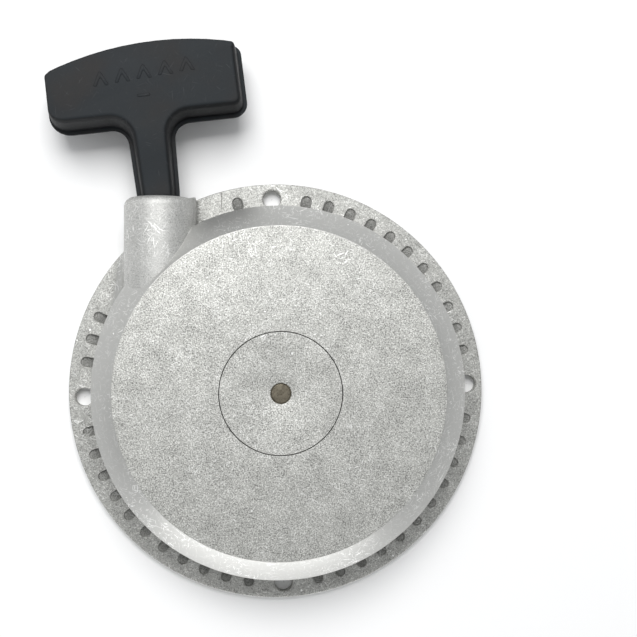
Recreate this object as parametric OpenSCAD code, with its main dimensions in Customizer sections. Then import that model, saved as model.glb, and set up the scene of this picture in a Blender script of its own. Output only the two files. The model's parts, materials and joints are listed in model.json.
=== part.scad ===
// Recoil starter for a small engine: a cast housing with a spring-returned rope reel,
// two pawls that swing out to drive the engine's starter cup, and a T-handle on the rope.
// Millimetres. The origin is the centre of the mounting flange's back face, on the reel's axis.
// +Z points out of the housing's flat face, +Y is the direction in which the handle is pulled.

/* [Housing] */
// Outer diameter of the mounting flange
flange_d = 165; // [164:0.5:172]
// Thickness of the mounting flange
flange_t = 4; // [3:0.5:5]
// Height of the flat face above the flange's back
housing_h = 32; // [31:0.5:34]
// Outer diameter of the wall where it meets the flange
wall_d = 147; // [146:0.5:148]
// Diameter of the flat face inside the chamfer
face_d = 127; // [122:0.5:130]
// Wall thickness of the casting
wall_t = 3.5; // [3:0.25:4]

/* [Mounting holes] */
// Diameter of the circle of mounting holes
hole_pcd = 153; // [152:0.25:154]
// Diameter of each mounting hole
hole_d = 7; // [6:0.25:7.5]
// Turn of the hole circle away from the pull direction, in degrees
hole_turn = 1.8; // [0:0.1:3]

/* [Vent slots] */
// Width of a vent slot
slot_w = 3.8; // [3:0.2:4.2]
// Radius that the slots reach in the flange
slot_reach = 78.5; // [77:0.25:79.5]
// Height of the slots' windows in the wall
slot_h = 12; // [8:0.5:14]

/* [Rope] */
// Diameter of the starter rope
rope_d = 4; // [3.5:0.25:4]
// Turns of rope on the reel with the handle home
rope_turns = 2.9; // [2.6:0.05:2.9]

/* [Reel] */
// Diameter of the reel's two rope flanges
reel_d = 107; // [106:0.5:112]
// Turns of the recoil spring
spring_turns = 9; // [6:1:11]
// Thickness of the recoil spring's steel strip
spring_t = 0.6; // [0.4:0.1:0.7]

/* [Handle] */
// Length of the handle's crossbar
bar_l = 77; // [70:1:84]
// Thickness of the crossbar and the stem
grip_t = 21.5; // [19:0.5:21.5]
// Height of the middle of the crossbar's top edge above the housing's mouth
bar_top = 60; // [58:0.5:62]

/* [Pawls] */
// Outward swing of the pawls, in degrees
pawl_swing = 24; // [18:1:25]
// Turn of the friction plate that swings the pawls out, in degrees
plate_turn = 35; // [28:1:36]

/* [Hidden] */
$fn = 96;
eps = 0.05;

// Housing levels and radii
chamfer = 8.3;
wall_top_z = housing_h - chamfer;
wall_top_r = wall_d / 2 - 1.6;
face_r = face_d / 2;
inner_r = wall_d / 2 - wall_t;
plate_z = housing_h - wall_t;
boss_r = 12;
boss_z = 19.9;
score_r = 23.4;
score_w = 0.4;
score_depth = 0.3;
hole_chamfer = 0.4;
spot_face_r = 5.6;
spot_face_top = 12;
sill_z = 2;
slot_lip = 0.6;
slot_pitch = 360 / 52;
slots_a_quadrant = 11;

// Rope tube that leaves the housing
tube_x = -46.2;
tube_z = 17.2;
tube_r = 13.8;
mouth_y = 75;
mouth_r = 10.2;
mouth_rim = 3.4;
mouth_depth = 9.5;
seat_r = 7;
bush_flange_t = 3;
bush_bore_r = rope_d / 2 + 0.7;
bush_in_y = 54;

// Centre pin and the stack below it
pin_tip_r = 4;
journal_r = 6;
journal_z = 8.8;
nose_r = 4.5;
nose_z = 5.4;
thread_r = 3;
thread_top_z = 20;
plate_top_z = 8;
plate_bottom_z = 6.65;
plate_r = 31;
retainer_t = 1;
lock_t = 1.2;
head_bottom_z = 0.4;
head_af = 10;

// Reel
groove_w = rope_d + 1;
reel_flange_t = 2;
groove_low_z = tube_z - groove_w / 2;
groove_high_z = tube_z + groove_w / 2;
groove_r = 35.5;
cavity_r = 33;
web_low_z = 16.5;
web_high_z = 19.5;
hub_z = 9;
hub_r = 11;
bush_r = 8;
rim_top_z = 27.3;
rib_count = 12;

// Rope route: a flat coil on the reel, then a straight lead through the tube
rope_pitch = rope_d + 0.2;
rope_r0 = 38 + rope_pitch * 2.9;
lead_start = 176.4;
coil_rings = 26;
rope_sides = 8;
knot_polar = [26.6, 27, 14];
way_mouth_polar = [38, 2, tube_z];
tail_steps = [[0.86, 16.5], [0.6, 16.1], [0.3, 15.1], [0.12, 14.4]];
reel_knot_r = 4.6;
lead_points = [[-49, 20, 17.2], [-48, 35, 17.2], [-47, 48, 17.2], [-46.3, 58, 17.2], [-46.2, 67, 17.3]];

// Recoil spring
spring_w = 7;
spring_z = 20.1;
spring_in_r = boss_r + 1.1;
spring_out_r = cavity_r - 0.7;
spring_hook_in = pin_tip_r + 4.6;
spring_hook_out = groove_r - 0.5;
spring_steps = 36;
spring_slot_w = 1.8;

// Pawls
pawl_r = 24;
pawl_rest = -20;
pawl_z = 8.4;
pawl_t = 3.8;
pawl_pin_r = 2.5;
pin_boss_r = 4;
pin_boss_z = 12.6;
pin_top_z = 18.5;
peg_arm = 11;
peg_r = 1.5;
peg_z = 6.3;
wire_r = 0.45;
coil_r = 4.9;

// Handle, in its own frame: x along the crossbar, y up the stem, z out of the front
handle_at = [-46.7, 75.7, 17.2];
handle_tilt = [-5.5, 0, 7];
bar_low = 27.8;
arch_r = 125;
arch_x = 7;
corner_r = 5.5;
draft = 0.9;
edge_inset = 1.6;
ledge = 1.5;
stem_low_r = 8.2;
stem_high_r = 9.3;
nose_depth = 5;
knot_pocket_y = 47;
knot_pocket_r = 6.6;
handle_knot_r = 4.8;
anchor_t = 1.5;

function polar(r, a) = [r * cos(a), r * sin(a)];
function spin(p, a) = [p.x * cos(a) - p.y * sin(a), p.x * sin(a) + p.y * cos(a)];

// A point of the handle's frame in the starter's frame
function tip_x(p, a) = [p.x, p.y * cos(a) - p.z * sin(a), p.y * sin(a) + p.z * cos(a)];
function handle_point(p) =
    let (q = tip_x(p, handle_tilt.x), s = spin(q, handle_tilt.z))
    handle_at + [s.x, s.y, q.z];

// Rings of a round cord along a list of points, each ring square to the path there
function unit(v) = v / norm(v);
function heading(path, i) = unit(path[min(i + 1, len(path) - 1)] - path[max(i - 1, 0)]);
function ring(centre, along, r, sides) =
    let (up = abs(along.z) > 0.9 ? [1, 0, 0] : [0, 0, 1], u = unit(cross(along, up)), v = cross(u, along))
    [for (k = [0:sides - 1]) centre + r * (cos(360 * k / sides) * u + sin(360 * k / sides) * v)];

module cord(path, r, sides) {
    last = len(path) - 1;
    points = [for (i = [0:last]) each ring(path[i], heading(path, i), r, sides)];
    skin = [
        for (i = [0:last - 1]) for (k = [0:sides - 1])
            [i * sides + k, i * sides + (k + 1) % sides, (i + 1) * sides + (k + 1) % sides, (i + 1) * sides + k]
    ];
    start_cap = [[for (k = [sides - 1:-1:0]) k]];
    end_cap = [[for (k = [0:sides - 1]) last * sides + k]];
    polyhedron(points, concat(skin, start_cap, end_cap), convexity = 10);
}

module ring_plate(r_out, r_in, z, t) {
    translate([0, 0, z]) difference() {
        cylinder(r = r_out, h = t);
        translate([0, 0, -1]) cylinder(r = r_in, h = t + 2);
    }
}

// Cylinder along +Y between two heights of y
module y_rod(r, y0, y1) {
    translate([0, y0, 0]) rotate([-90, 0, 0]) cylinder(r = r, h = y1 - y0);
}

/* Housing */

// The casting's outside, without the tube
module housing_outside() {
    rotate_extrude() polygon([
        [0, 0], [flange_d / 2, 0], [flange_d / 2, flange_t], [wall_d / 2, flange_t],
        [wall_top_r, wall_top_z], [face_r, housing_h], [0, housing_h]
    ]);
}

// The tube's round body, its rounded rim and the casting under it down to the flange's back
module tube_body() {
    translate([tube_x, 0, tube_z]) {
        y_rod(tube_r, 30, mouth_y - mouth_rim);
        translate([0, mouth_y - mouth_rim, 0]) rotate([-90, 0, 0]) rotate_extrude() {
            square([tube_r - mouth_rim, mouth_rim]);
            intersection() {
                translate([tube_r - mouth_rim, 0]) circle(r = mouth_rim);
                square([tube_r, mouth_rim]);
            }
        }
    }
    intersection() {
        translate([tube_x - tube_r, 30, flange_t / 2]) cube([2 * tube_r, 60, tube_z - flange_t / 2]);
        cylinder(r = flange_d / 2 - 1, h = tube_z + 1);
    }
}

// The room for the reel, which leaves the boss standing in the middle
module housing_room() {
    rotate_extrude() polygon([
        [0, -1], [inner_r, -1], [inner_r, flange_t], [wall_top_r - wall_t, wall_top_z - wall_t * 0.4],
        [face_r - wall_t * 0.4, plate_z], [boss_r, plate_z], [boss_r, boss_z], [0, boss_z]
    ]);
}

module scored_circle() {
    rotate_extrude() polygon([
        [score_r - score_w / 2, housing_h + eps], [score_r, housing_h - score_depth],
        [score_r + score_w / 2, housing_h + eps]
    ]);
}

// A window in the wall's foot, with a scoop in the flange that rises from the sill to the slot's tip
module vent_slot() {
    end_x = slot_reach - slot_w / 2;
    intersection() {
        union() {
            translate([inner_r - 3, -slot_w / 2, 0]) cube([end_x - inner_r + 3, slot_w, slot_h]);
            translate([end_x, 0, 0]) cylinder(d = slot_w, h = slot_h);
        }
        translate([0, slot_w, 0]) rotate([90, 0, 0]) linear_extrude(2 * slot_w) polygon([
            [inner_r - 4, sill_z], [wall_d / 2 - 1, sill_z], [slot_reach + 1, flange_t - slot_lip],
            [slot_reach + 1, slot_h + 1], [inner_r - 4, slot_h + 1]
        ]);
    }
}

module vent_slots() {
    for (quadrant = [0:3])
        for (i = [0:slots_a_quadrant - 1])
            if (quadrant != 1 || i == 0 || i > 7)
                rotate(hole_turn + quadrant * 90 + (i + 1.5) * slot_pitch) vent_slot();
}

module mounting_hole() {
    translate([hole_pcd / 2, 0, -1]) cylinder(d = hole_d, h = flange_t + 2);
    translate([hole_pcd / 2, 0, flange_t - hole_chamfer])
        cylinder(r1 = hole_d / 2, r2 = hole_d / 2 + hole_chamfer + eps, h = hole_chamfer + eps);
    translate([hole_pcd / 2, 0, flange_t + eps]) cylinder(r = spot_face_r, h = spot_face_top - flange_t);
}

module housing() {
    color("silver") difference() {
        union() {
            housing_outside();
            tube_body();
        }
        housing_room();
        scored_circle();
        translate([0, 0, boss_z - 1]) cylinder(r = pin_tip_r, h = housing_h);
        for (i = [0:3]) rotate(hole_turn + 90 * i) mounting_hole();
        vent_slots();
        translate([tube_x, 0, tube_z]) {
            y_rod(seat_r, 40, mouth_y);
            y_rod(mouth_r, mouth_y - mouth_depth, mouth_y + 1);
        }
        rotate(spring_hook_angle()) translate([pin_tip_r + 4, -spring_slot_w / 2, boss_z - 1])
            cube([boss_r, spring_slot_w, plate_z - boss_z + 1]);
    }
}

/* Centre pin and its stack */

module centre_pin() {
    color("saddlebrown") difference() {
        union() {
            translate([0, 0, boss_z]) cylinder(r = pin_tip_r, h = housing_h - boss_z);
            translate([0, 0, journal_z]) cylinder(r = journal_r, h = boss_z - journal_z);
            translate([0, 0, nose_z]) cylinder(r = nose_r, h = journal_z - nose_z);
        }
        translate([0, 0, nose_z - 1]) cylinder(r = thread_r, h = thread_top_z - nose_z + 1);
    }
}

module thrust_washer() {
    color("goldenrod") ring_plate(10, nose_r + eps, plate_top_z + eps, journal_z - plate_top_z - 2 * eps);
}

module disc_spring() {
    low = nose_z;
    high = plate_bottom_z - eps;
    thick = 0.4;
    color("dimgray") rotate_extrude()
        polygon([[nose_r + 0.3, high - thick], [9.3, low], [9.3, low + thick], [nose_r + 0.3, high]]);
}

module retaining_washer() {
    color("lightgray") ring_plate(10, thread_r + 0.2, nose_z - retainer_t, retainer_t);
}

module lock_washer() {
    z = nose_z - retainer_t - lock_t;
    color("gray") difference() {
        ring_plate(5.4, thread_r + 0.2, z, lock_t);
        rotate(40) translate([0, -0.5, z - 1]) cube([8, 1, lock_t + 2]);
    }
}

module centre_bolt() {
    head_top_z = nose_z - retainer_t - lock_t;
    color("silver") union() {
        translate([0, 0, head_bottom_z])
            cylinder(r = head_af / 2 / cos(30), h = head_top_z - head_bottom_z, $fn = 6);
        translate([0, 0, head_top_z]) cylinder(r = thread_r - 0.03, h = thread_top_z - 2 - head_top_z);
    }
}

/* Rope guide bush in the tube's mouth */

module rope_guide_bush() {
    flange_y = mouth_y - mouth_depth;
    top_y = flange_y + bush_flange_t;
    flare = 2.2;
    color("black") translate([tube_x, 0, tube_z]) rotate([-90, 0, 0]) rotate_extrude() polygon([
        [bush_bore_r + flare, bush_in_y], [seat_r, bush_in_y], [seat_r, flange_y], [mouth_r - 0.3, flange_y],
        [mouth_r - 0.3, top_y], [bush_bore_r + flare, top_y],
        for (a = [0:15:90]) [bush_bore_r + flare - flare * sin(a), top_y - flare + flare * cos(a)],
        for (a = [90:-15:0]) [bush_bore_r + flare - flare * sin(a), bush_in_y + flare - flare * cos(a)]
    ]);
}

/* Recoil spring: a flat spiral strip, hooked in the housing's boss and in the reel's rim */

function spring_hook_angle() = 215;
function spring_radius(t) = spring_in_r + (spring_out_r - spring_in_r) * pow(t, 0.65);
function spring_angle(t) = spring_hook_angle() - 360 * spring_turns * t;
function spring_path(steps) = concat(
    [polar(spring_hook_in, spring_angle(0))],
    [for (i = [0:steps]) polar(spring_radius(i / steps), spring_angle(i / steps))],
    [polar(spring_hook_out, spring_angle(1))]
);
function beside(path, i, side) =
    let (d = path[min(i + 1, len(path) - 1)] - path[max(i - 1, 0)], n = [-d.y, d.x] / norm(d))
    path[i] + side * n;

module recoil_spring() {
    path = spring_path(spring_turns * spring_steps);
    last = len(path) - 1;
    color("darkslategray") translate([0, 0, spring_z]) linear_extrude(spring_w) polygon(concat(
        [for (i = [0:last]) beside(path, i, spring_t / 2)],
        [for (i = [last:-1:0]) beside(path, i, -spring_t / 2)]
    ));
}

/* Reel */

function coil_end() = lead_start + 360 * rope_turns;
function tail_point(p) = let (q = polar(p[0], coil_end() + p[1])) [q.x, q.y, p[2]];

// A point of the straight way from the knot (share 0) to the groove (share 1), at height z
function way_point(share, z) =
    let (knot = tail_point(knot_polar), run = tail_point(way_mouth_polar) - knot)
    [knot.x + share * run.x, knot.y + share * run.y, z];

module reel_profile() {
    reel_r = reel_d / 2;
    polygon([
        [bush_r, hub_z], [hub_r, hub_z], [hub_r, web_low_z], [cavity_r, web_low_z],
        [cavity_r, groove_low_z - reel_flange_t], [reel_r, groove_low_z - reel_flange_t],
        [reel_r, groove_low_z], [groove_r, groove_low_z], [groove_r, groove_high_z], [reel_r, groove_high_z],
        [reel_r, groove_high_z + reel_flange_t], [groove_r, groove_high_z + reel_flange_t],
        [groove_r, rim_top_z], [cavity_r, rim_top_z], [cavity_r, web_high_z], [bush_r, web_high_z]
    ]);
}

// Pocket for the rope's inner knot, and the oblique way that leads the rope into it
module knot_pocket() {
    knot = tail_point(knot_polar);
    mouth = tail_point(way_mouth_polar);
    run = [mouth.x - knot.x, mouth.y - knot.y];
    low_z = 12;
    top_z = web_high_z - 0.6;
    way_w = rope_d * 1.5;
    translate([knot.x, knot.y, hub_z - 1]) cylinder(r = reel_knot_r + 0.5, h = top_z - hub_z + 1);
    translate([knot.x, knot.y, low_z]) rotate(atan2(run.y, run.x))
        translate([0, -way_w / 2, 0]) cube([norm(run), way_w, top_z - low_z]);
}

module reel() {
    rib_z = groove_low_z - reel_flange_t - 0.8;
    color("ivory") difference() {
        union() {
            rotate_extrude() reel_profile();
            for (i = [0:1]) rotate(180 * i)
                translate([0, pawl_r, pin_boss_z]) cylinder(r = pin_boss_r, h = web_low_z - pin_boss_z + eps);
            for (i = [0:rib_count - 1]) rotate(360 * i / rib_count + 15)
                translate([43, -0.75, rib_z]) cube([reel_d / 2 - 44.5, 1.5, 0.8 + eps]);
        }
        for (i = [0:1]) rotate(180 * i)
            translate([0, pawl_r, pin_boss_z - 1]) cylinder(r = pawl_pin_r, h = pin_top_z - pin_boss_z + 1);
        knot_pocket();
        rotate(spring_angle(1)) translate([cavity_r - 2, -spring_slot_w / 2, spring_z - 0.1])
            cube([6, spring_slot_w, 10]);
    }
}

module reel_bush() {
    color("peru") ring_plate(bush_r, journal_r + 0.03, hub_z, boss_z - 0.3 - hub_z);
}

/* Rope */

function coil_point(t) = let (q = polar(rope_r0 - rope_pitch * t, lead_start + 360 * t)) [q.x, q.y, tube_z];

module rope_coil() {
    steps = ceil(rope_turns * coil_rings);
    coil = [for (i = [0:steps]) coil_point(rope_turns * i / steps)];
    color("white") cord(concat(coil, [for (p = tail_steps) way_point(p[0], p[1])]), rope_d / 2, rope_sides);
}

module reel_knot() {
    color("white") translate(tail_point(knot_polar)) sphere(r = reel_knot_r - 0.2);
}

module rope_lead() {
    in_handle = [for (y = [-3, 8, 20, 34, knot_pocket_y + anchor_t]) handle_point([0, y, 0])];
    touch = coil_point(0);
    start = touch + 0.25 * unit(lead_points[0] - touch);
    color("white") cord(concat([start], lead_points, in_handle), rope_d / 2, rope_sides);
}

/* Pawls, their pins and springs */

module pawl_shape() {
    difference() {
        union() {
            circle(r = 5);
            polygon([[-1, -4.9], [8, -4.6], [18, -3.6], [22.4, -2.6], [23, 2.2], [20, 3.4], [9, 4.6], [0, 5]]);
        }
        circle(r = pawl_pin_r + 0.06);
    }
}

module pawl() {
    translate([0, pawl_r, 0]) rotate(pawl_rest) {
        translate([0, 0, pawl_z]) linear_extrude(pawl_t) pawl_shape();
        translate([peg_arm, 0, peg_z]) cylinder(r = peg_r, h = pawl_z - peg_z + eps);
    }
}

module pawl_a() {
    color("dimgray") pawl();
}

module pawl_b() {
    color("dimgray") rotate(180) pawl();
}

module pawl_pin() {
    foot_z = plate_top_z + 0.2;
    translate([0, pawl_r, foot_z]) cylinder(r = pawl_pin_r, h = pin_top_z - foot_z);
}

module pawl_pin_a() {
    color("lightgray") pawl_pin();
}

module pawl_pin_b() {
    color("lightgray") rotate(180) pawl_pin();
}

// Torsion spring round the pin's boss: one leg is held in the web, the other bears on the pawl's outer edge
module pawl_spring() {
    turns = 2.5;
    steps = 40;
    low_z = 13.3;
    out_a = pawl_rest + 75;
    coil = [
        for (i = [0:steps])
            let (q = polar(coil_r, out_a - 10 - 360 * turns * i / steps))
            [q.x, q.y + pawl_r, low_z + 2.6 * i / steps]
    ];
    foot = spin([10, 5.5], pawl_rest);
    knee = spin([6, 6.5], pawl_rest);
    leg = [
        [foot.x, foot.y + pawl_r, 10], [foot.x, foot.y + pawl_r, 12.3], [knee.x, knee.y + pawl_r, 13.1]
    ];
    web_leg = polar(coil_r + 4, out_a + 150);
    cord(concat(leg, coil, [[web_leg.x, web_leg.y + pawl_r, web_low_z - wire_r - 0.1]]), wire_r, 6);
}

module pawl_spring_a() {
    color("lightsteelblue") pawl_spring();
}

module pawl_spring_b() {
    color("lightsteelblue") rotate(180) pawl_spring();
}

/* Friction plate: two curved slots carry the pawls' pegs outward as the reel turns ahead of the plate */

function peg_at(t) = spin([0, pawl_r] + spin([peg_arm, 0], pawl_rest + pawl_swing * t), -plate_turn * t);
function peg_heading(t) = let (d = peg_at(t + 0.01) - peg_at(t - 0.01)) atan2(d.y, d.x);
function slot_cap(t, from, to) =
    [for (k = [0:8]) peg_at(t) + polar(peg_r + 0.35, peg_heading(t) + from + (to - from) * k / 8)];

module peg_slot() {
    n = 12;
    half = peg_r + 0.35;
    polygon(concat(
        [for (i = [0:n]) peg_at(i / n) + polar(half, peg_heading(i / n) + 90)],
        slot_cap(1, 90, -90),
        [for (i = [n:-1:0]) peg_at(i / n) + polar(half, peg_heading(i / n) - 90)],
        slot_cap(0, -90, -270)
    ));
}

module friction_plate() {
    window_r = 3.5;
    color("lightslategray") translate([0, 0, plate_bottom_z]) linear_extrude(plate_top_z - plate_bottom_z)
        difference() {
            circle(r = plate_r);
            circle(r = nose_r + eps);
            for (i = [0:1]) rotate(180 * i) peg_slot();
            for (i = [0:1]) rotate(180 * i) for (a = [105:30:165]) translate(polar(21, a)) circle(r = window_r);
        }
}

/* Handle */

module in_handle_frame() {
    translate(handle_at) rotate(handle_tilt) children();
}

// The crossbar's outline: straight underside, long arched top edge and round lower corners
module bar_outline(inset) {
    half = bar_l / 2 - inset;
    low = bar_low + inset;
    r = corner_r;
    intersection() {
        union() {
            translate([-half, low + r]) square([2 * half, bar_top - low]);
            translate([-half + r, low]) square([2 * half - 2 * r, bar_top - low]);
            for (side = [-1, 1]) translate([side * (half - r), low + r]) circle(r = r, $fn = 32);
        }
        translate([arch_x, bar_top - arch_r]) circle(r = arch_r - inset, $fn = 200);
    }
}

module slab(z, t) {
    translate([0, 0, z]) linear_extrude(t) children();
}

// One half of the moulded bar, from the parting plane up to the face at height h
module half_bar(foot_inset, h) {
    hull() {
        slab(0, 0.1) bar_outline(foot_inset);
        slab(h - edge_inset, 0.1) bar_outline(foot_inset + draft);
        slab(h - 0.1, 0.1) bar_outline(foot_inset + draft + edge_inset);
    }
}

// The stem: round where it enters the mouth, and as thick as the bar where it meets it
module stem(h) {
    top = bar_low + 7;
    hull() {
        y_rod(stem_low_r, 0, 0.2, $fn = 32);
        for (side = [-1, 1]) for (face = [-1, 1])
            translate([side * (stem_high_r - 3), 0, face * (h - 3.2)]) y_rod(3, top, top + 0.2, $fn = 32);
    }
}

// Concave fillets where the stem meets the bar's underside
module stem_fillets(h) {
    r = 6;
    for (side = [-1, 1]) difference() {
        translate([side > 0 ? stem_high_r - 2 : -stem_high_r - r, bar_low - r, -h])
            cube([r + 2, r + 3, 2 * h]);
        translate([side * (stem_high_r + r), bar_low - r, -h - 1]) cylinder(r = r, h = 2 * h + 2);
    }
}

module handle_grip() {
    h = grip_t / 2;
    color([0.16, 0.17, 0.18]) in_handle_frame() difference() {
        union() {
            half_bar(ledge, h);
            mirror([0, 0, 1]) half_bar(0, h);
            stem(h);
            stem_fillets(h * 0.6);
            y_rod(7.4, -nose_depth, 4);
        }
        y_rod(rope_d / 2 + 0.5, -nose_depth - 1, knot_pocket_y + 1);
        y_rod(knot_pocket_r, knot_pocket_y, bar_top + 5);
    }
}

module anchor_washer() {
    color("lightgray") in_handle_frame() difference() {
        y_rod(knot_pocket_r - 0.3, knot_pocket_y, knot_pocket_y + anchor_t);
        y_rod(rope_d / 2 + 0.4, knot_pocket_y - 1, knot_pocket_y + anchor_t + 1);
    }
}

module handle_knot() {
    color("white") in_handle_frame()
        translate([0, knot_pocket_y + anchor_t + handle_knot_r + 0.1, 0]) sphere(r = handle_knot_r);
}

housing();
centre_pin();
rope_guide_bush();
recoil_spring();
reel();
reel_bush();
rope_coil();
reel_knot();
pawl_a();
pawl_b();
pawl_pin_a();
pawl_pin_b();
pawl_spring_a();
pawl_spring_b();
friction_plate();
thrust_washer();
disc_spring();
retaining_washer();
lock_washer();
centre_bolt();
rope_lead();
handle_grip();
anchor_washer();
handle_knot();
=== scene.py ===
"""Looks of a recoil starter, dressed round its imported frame.

Lengths are metres in the frame's own axes: the origin is the middle of the mounting flange's back, +Z comes
out of the flat face and +Y is the way the handle is pulled. Sizes are written in millimetres times MM.
"""
import json
import logging
import math
from dataclasses import dataclass, field
from enum import Enum

import bmesh
import bpy
from mathutils import Matrix, Vector


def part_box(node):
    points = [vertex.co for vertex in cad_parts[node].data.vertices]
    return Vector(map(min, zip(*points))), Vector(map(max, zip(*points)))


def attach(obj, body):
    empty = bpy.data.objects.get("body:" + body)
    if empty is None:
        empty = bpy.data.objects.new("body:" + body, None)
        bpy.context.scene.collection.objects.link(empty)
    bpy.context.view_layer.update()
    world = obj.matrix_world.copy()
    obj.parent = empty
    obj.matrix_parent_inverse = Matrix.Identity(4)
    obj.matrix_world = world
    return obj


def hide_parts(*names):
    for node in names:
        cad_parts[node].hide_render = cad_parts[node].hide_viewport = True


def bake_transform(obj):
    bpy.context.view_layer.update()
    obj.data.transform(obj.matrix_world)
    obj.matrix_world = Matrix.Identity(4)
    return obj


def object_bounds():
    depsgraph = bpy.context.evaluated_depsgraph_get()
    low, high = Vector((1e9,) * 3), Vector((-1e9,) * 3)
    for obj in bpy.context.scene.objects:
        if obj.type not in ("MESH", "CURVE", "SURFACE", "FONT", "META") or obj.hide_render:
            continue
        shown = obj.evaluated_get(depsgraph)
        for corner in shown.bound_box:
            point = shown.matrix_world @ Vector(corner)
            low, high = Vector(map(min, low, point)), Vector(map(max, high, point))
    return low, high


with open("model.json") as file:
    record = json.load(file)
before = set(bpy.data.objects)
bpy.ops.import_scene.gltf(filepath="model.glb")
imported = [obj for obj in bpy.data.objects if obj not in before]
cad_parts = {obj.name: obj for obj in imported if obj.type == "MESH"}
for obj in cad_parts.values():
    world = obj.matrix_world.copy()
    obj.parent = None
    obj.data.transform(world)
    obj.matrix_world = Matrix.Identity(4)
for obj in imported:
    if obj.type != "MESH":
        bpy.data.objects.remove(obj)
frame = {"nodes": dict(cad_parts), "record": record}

MM = 0.001
NEAR_AXIS = 0.05 * MM
ALONG_Y = Matrix.Rotation(-math.pi / 2, 4, "X")
CAD_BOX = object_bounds()
LOG = logging.getLogger("recoil_starter")
Piece = bpy.types.Object
Socket = bpy.types.NodeSocket


class Carving(Enum):
    """How a second solid changes the first."""

    JOIN = "UNION"
    CUT = "DIFFERENCE"
    KEEP = "INTERSECT"


# ---------------------------------------------------------------------------
# Outlines and solids
# ---------------------------------------------------------------------------


@dataclass(frozen=True)
class Corner:
    """A corner of a flat outline and the radius that rounds it, in metres."""

    x: float
    y: float
    radius: float = 0.0


def corners_mm(*points: tuple[float, ...]) -> list[Corner]:
    """Corners from millimetre values.

    Args:
        points: (x, y) or (x, y, radius) for each corner.

    Returns:
        The corners in metres.
    """
    return [Corner(*(value * MM for value in point)) for point in points]


def points_mm(*points: tuple[float, ...]) -> list[Vector]:
    """Points from millimetre values."""
    return [Vector(point) * MM for point in points]


def round_off(before: Vector, at: Vector, after: Vector, radius: float, steps: int) -> list[Vector]:
    """Points of the arc that rounds one corner.

    Args:
        before: The corner before.
        at: The corner to round.
        after: The corner after.
        radius: The wanted radius, cut back where the edges are too short.
        steps: Spans in the arc.

    Returns:
        The arc's points, or the corner itself where it stays sharp.
    """
    into = before - at
    out = after - at
    opening = into.angle(out, math.pi)
    if radius <= 0 or opening > math.radians(178):
        return [at]
    reach = min(radius / math.tan(opening / 2), 0.49 * into.length, 0.49 * out.length)
    radius = reach * math.tan(opening / 2)
    centre = at + (into.normalized() + out.normalized()).normalized() * (radius / math.sin(opening / 2))
    first = at + into.normalized() * reach - centre
    last = at + out.normalized() * reach - centre
    turn = first.angle_signed(last)
    return [centre + Matrix.Rotation(-turn * k / steps, 2) @ first for k in range(steps + 1)]


def outline(corners: list[Corner], steps: int = 5) -> list[Vector]:
    """A closed outline with its corners rounded.

    Args:
        corners: The corners in order.
        steps: Spans in each rounded corner.

    Returns:
        The outline's points.
    """
    at = [Vector((c.x, c.y)) for c in corners]
    points = []
    for i, corner in enumerate(corners):
        points += round_off(at[i - 1], at[i], at[(i + 1) % len(at)], corner.radius, steps)
    return points


def arc_points(centre: Vector, radius: float, start: float, stop: float, steps: int) -> list[Vector]:
    """Points of an arc.

    Args:
        centre: The arc's centre.
        radius: Its radius.
        start: First angle in degrees.
        stop: Last angle in degrees.
        steps: Spans in the arc.

    Returns:
        The arc's points, both ends included.
    """
    angles = [math.radians(start + (stop - start) * k / steps) for k in range(steps + 1)]
    return [centre + radius * Vector((math.cos(a), math.sin(a))) for a in angles]


def circle(radius: float, steps: int) -> list[Vector]:
    """A circle's outline about the origin."""
    return arc_points(Vector((0, 0)), radius, 0, 360, steps)[:-1]


def wrap_round(mesh: bpy.types.Mesh, wrap: list[tuple[float, float]]) -> None:
    """Gives a mesh texture coordinates that run round it and along it.

    Args:
        mesh: The mesh.
        wrap: Turns round and lengths along, for each point.
    """
    layer = mesh.uv_layers.new(name="wrap")
    for face in mesh.polygons:
        turns = [wrap[v][0] for v in face.vertices]
        over_seam = max(turns) - min(turns) > 0.5
        for loop, vert in zip(face.loop_indices, face.vertices):
            turn, along = wrap[vert]
            if over_seam and turn < 0.5:
                turn += 1.0
            layer.data[loop].uv = (turn, along)


def solid(
    name: str, points: list[Vector], faces: list[list[int]], wrap: list[tuple[float, float]] | None = None
) -> Piece:
    """An object from points and faces, with its faces looking outward.

    Args:
        name: The object's name.
        points: The mesh's points.
        faces: Point numbers of each face.
        wrap: Texture coordinates of each point, where the finish needs them.

    Returns:
        The linked object.
    """
    mesh = bpy.data.meshes.new(name)
    mesh.from_pydata([tuple(p) for p in points], [], faces)
    if wrap:
        wrap_round(mesh, wrap)
    shape = bmesh.new()
    shape.from_mesh(mesh)
    bmesh.ops.remove_doubles(shape, verts=shape.verts, dist=1e-7)
    bmesh.ops.recalc_face_normals(shape, faces=shape.faces)
    shape.to_mesh(mesh)
    shape.free()
    made = bpy.data.objects.new(name, mesh)
    bpy.context.scene.collection.objects.link(made)
    return made


def skin_of_rings(count: int, around: int, closed: bool) -> list[list[int]]:
    """Faces that join rings of points one after the other.

    Args:
        count: How many rings.
        around: Points in each ring.
        closed: True where the last ring meets the first, False where the ends get a flat cap.

    Returns:
        Point numbers of each face.
    """
    faces = []
    for i in range(count if closed else count - 1):
        j = (i + 1) % count
        for k in range(around):
            m = (k + 1) % around
            faces.append([i * around + k, i * around + m, j * around + m, j * around + k])
    if not closed:
        faces.append(list(range(around)))
        faces.append([(count - 1) * around + k for k in range(around)])
    return faces


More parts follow.
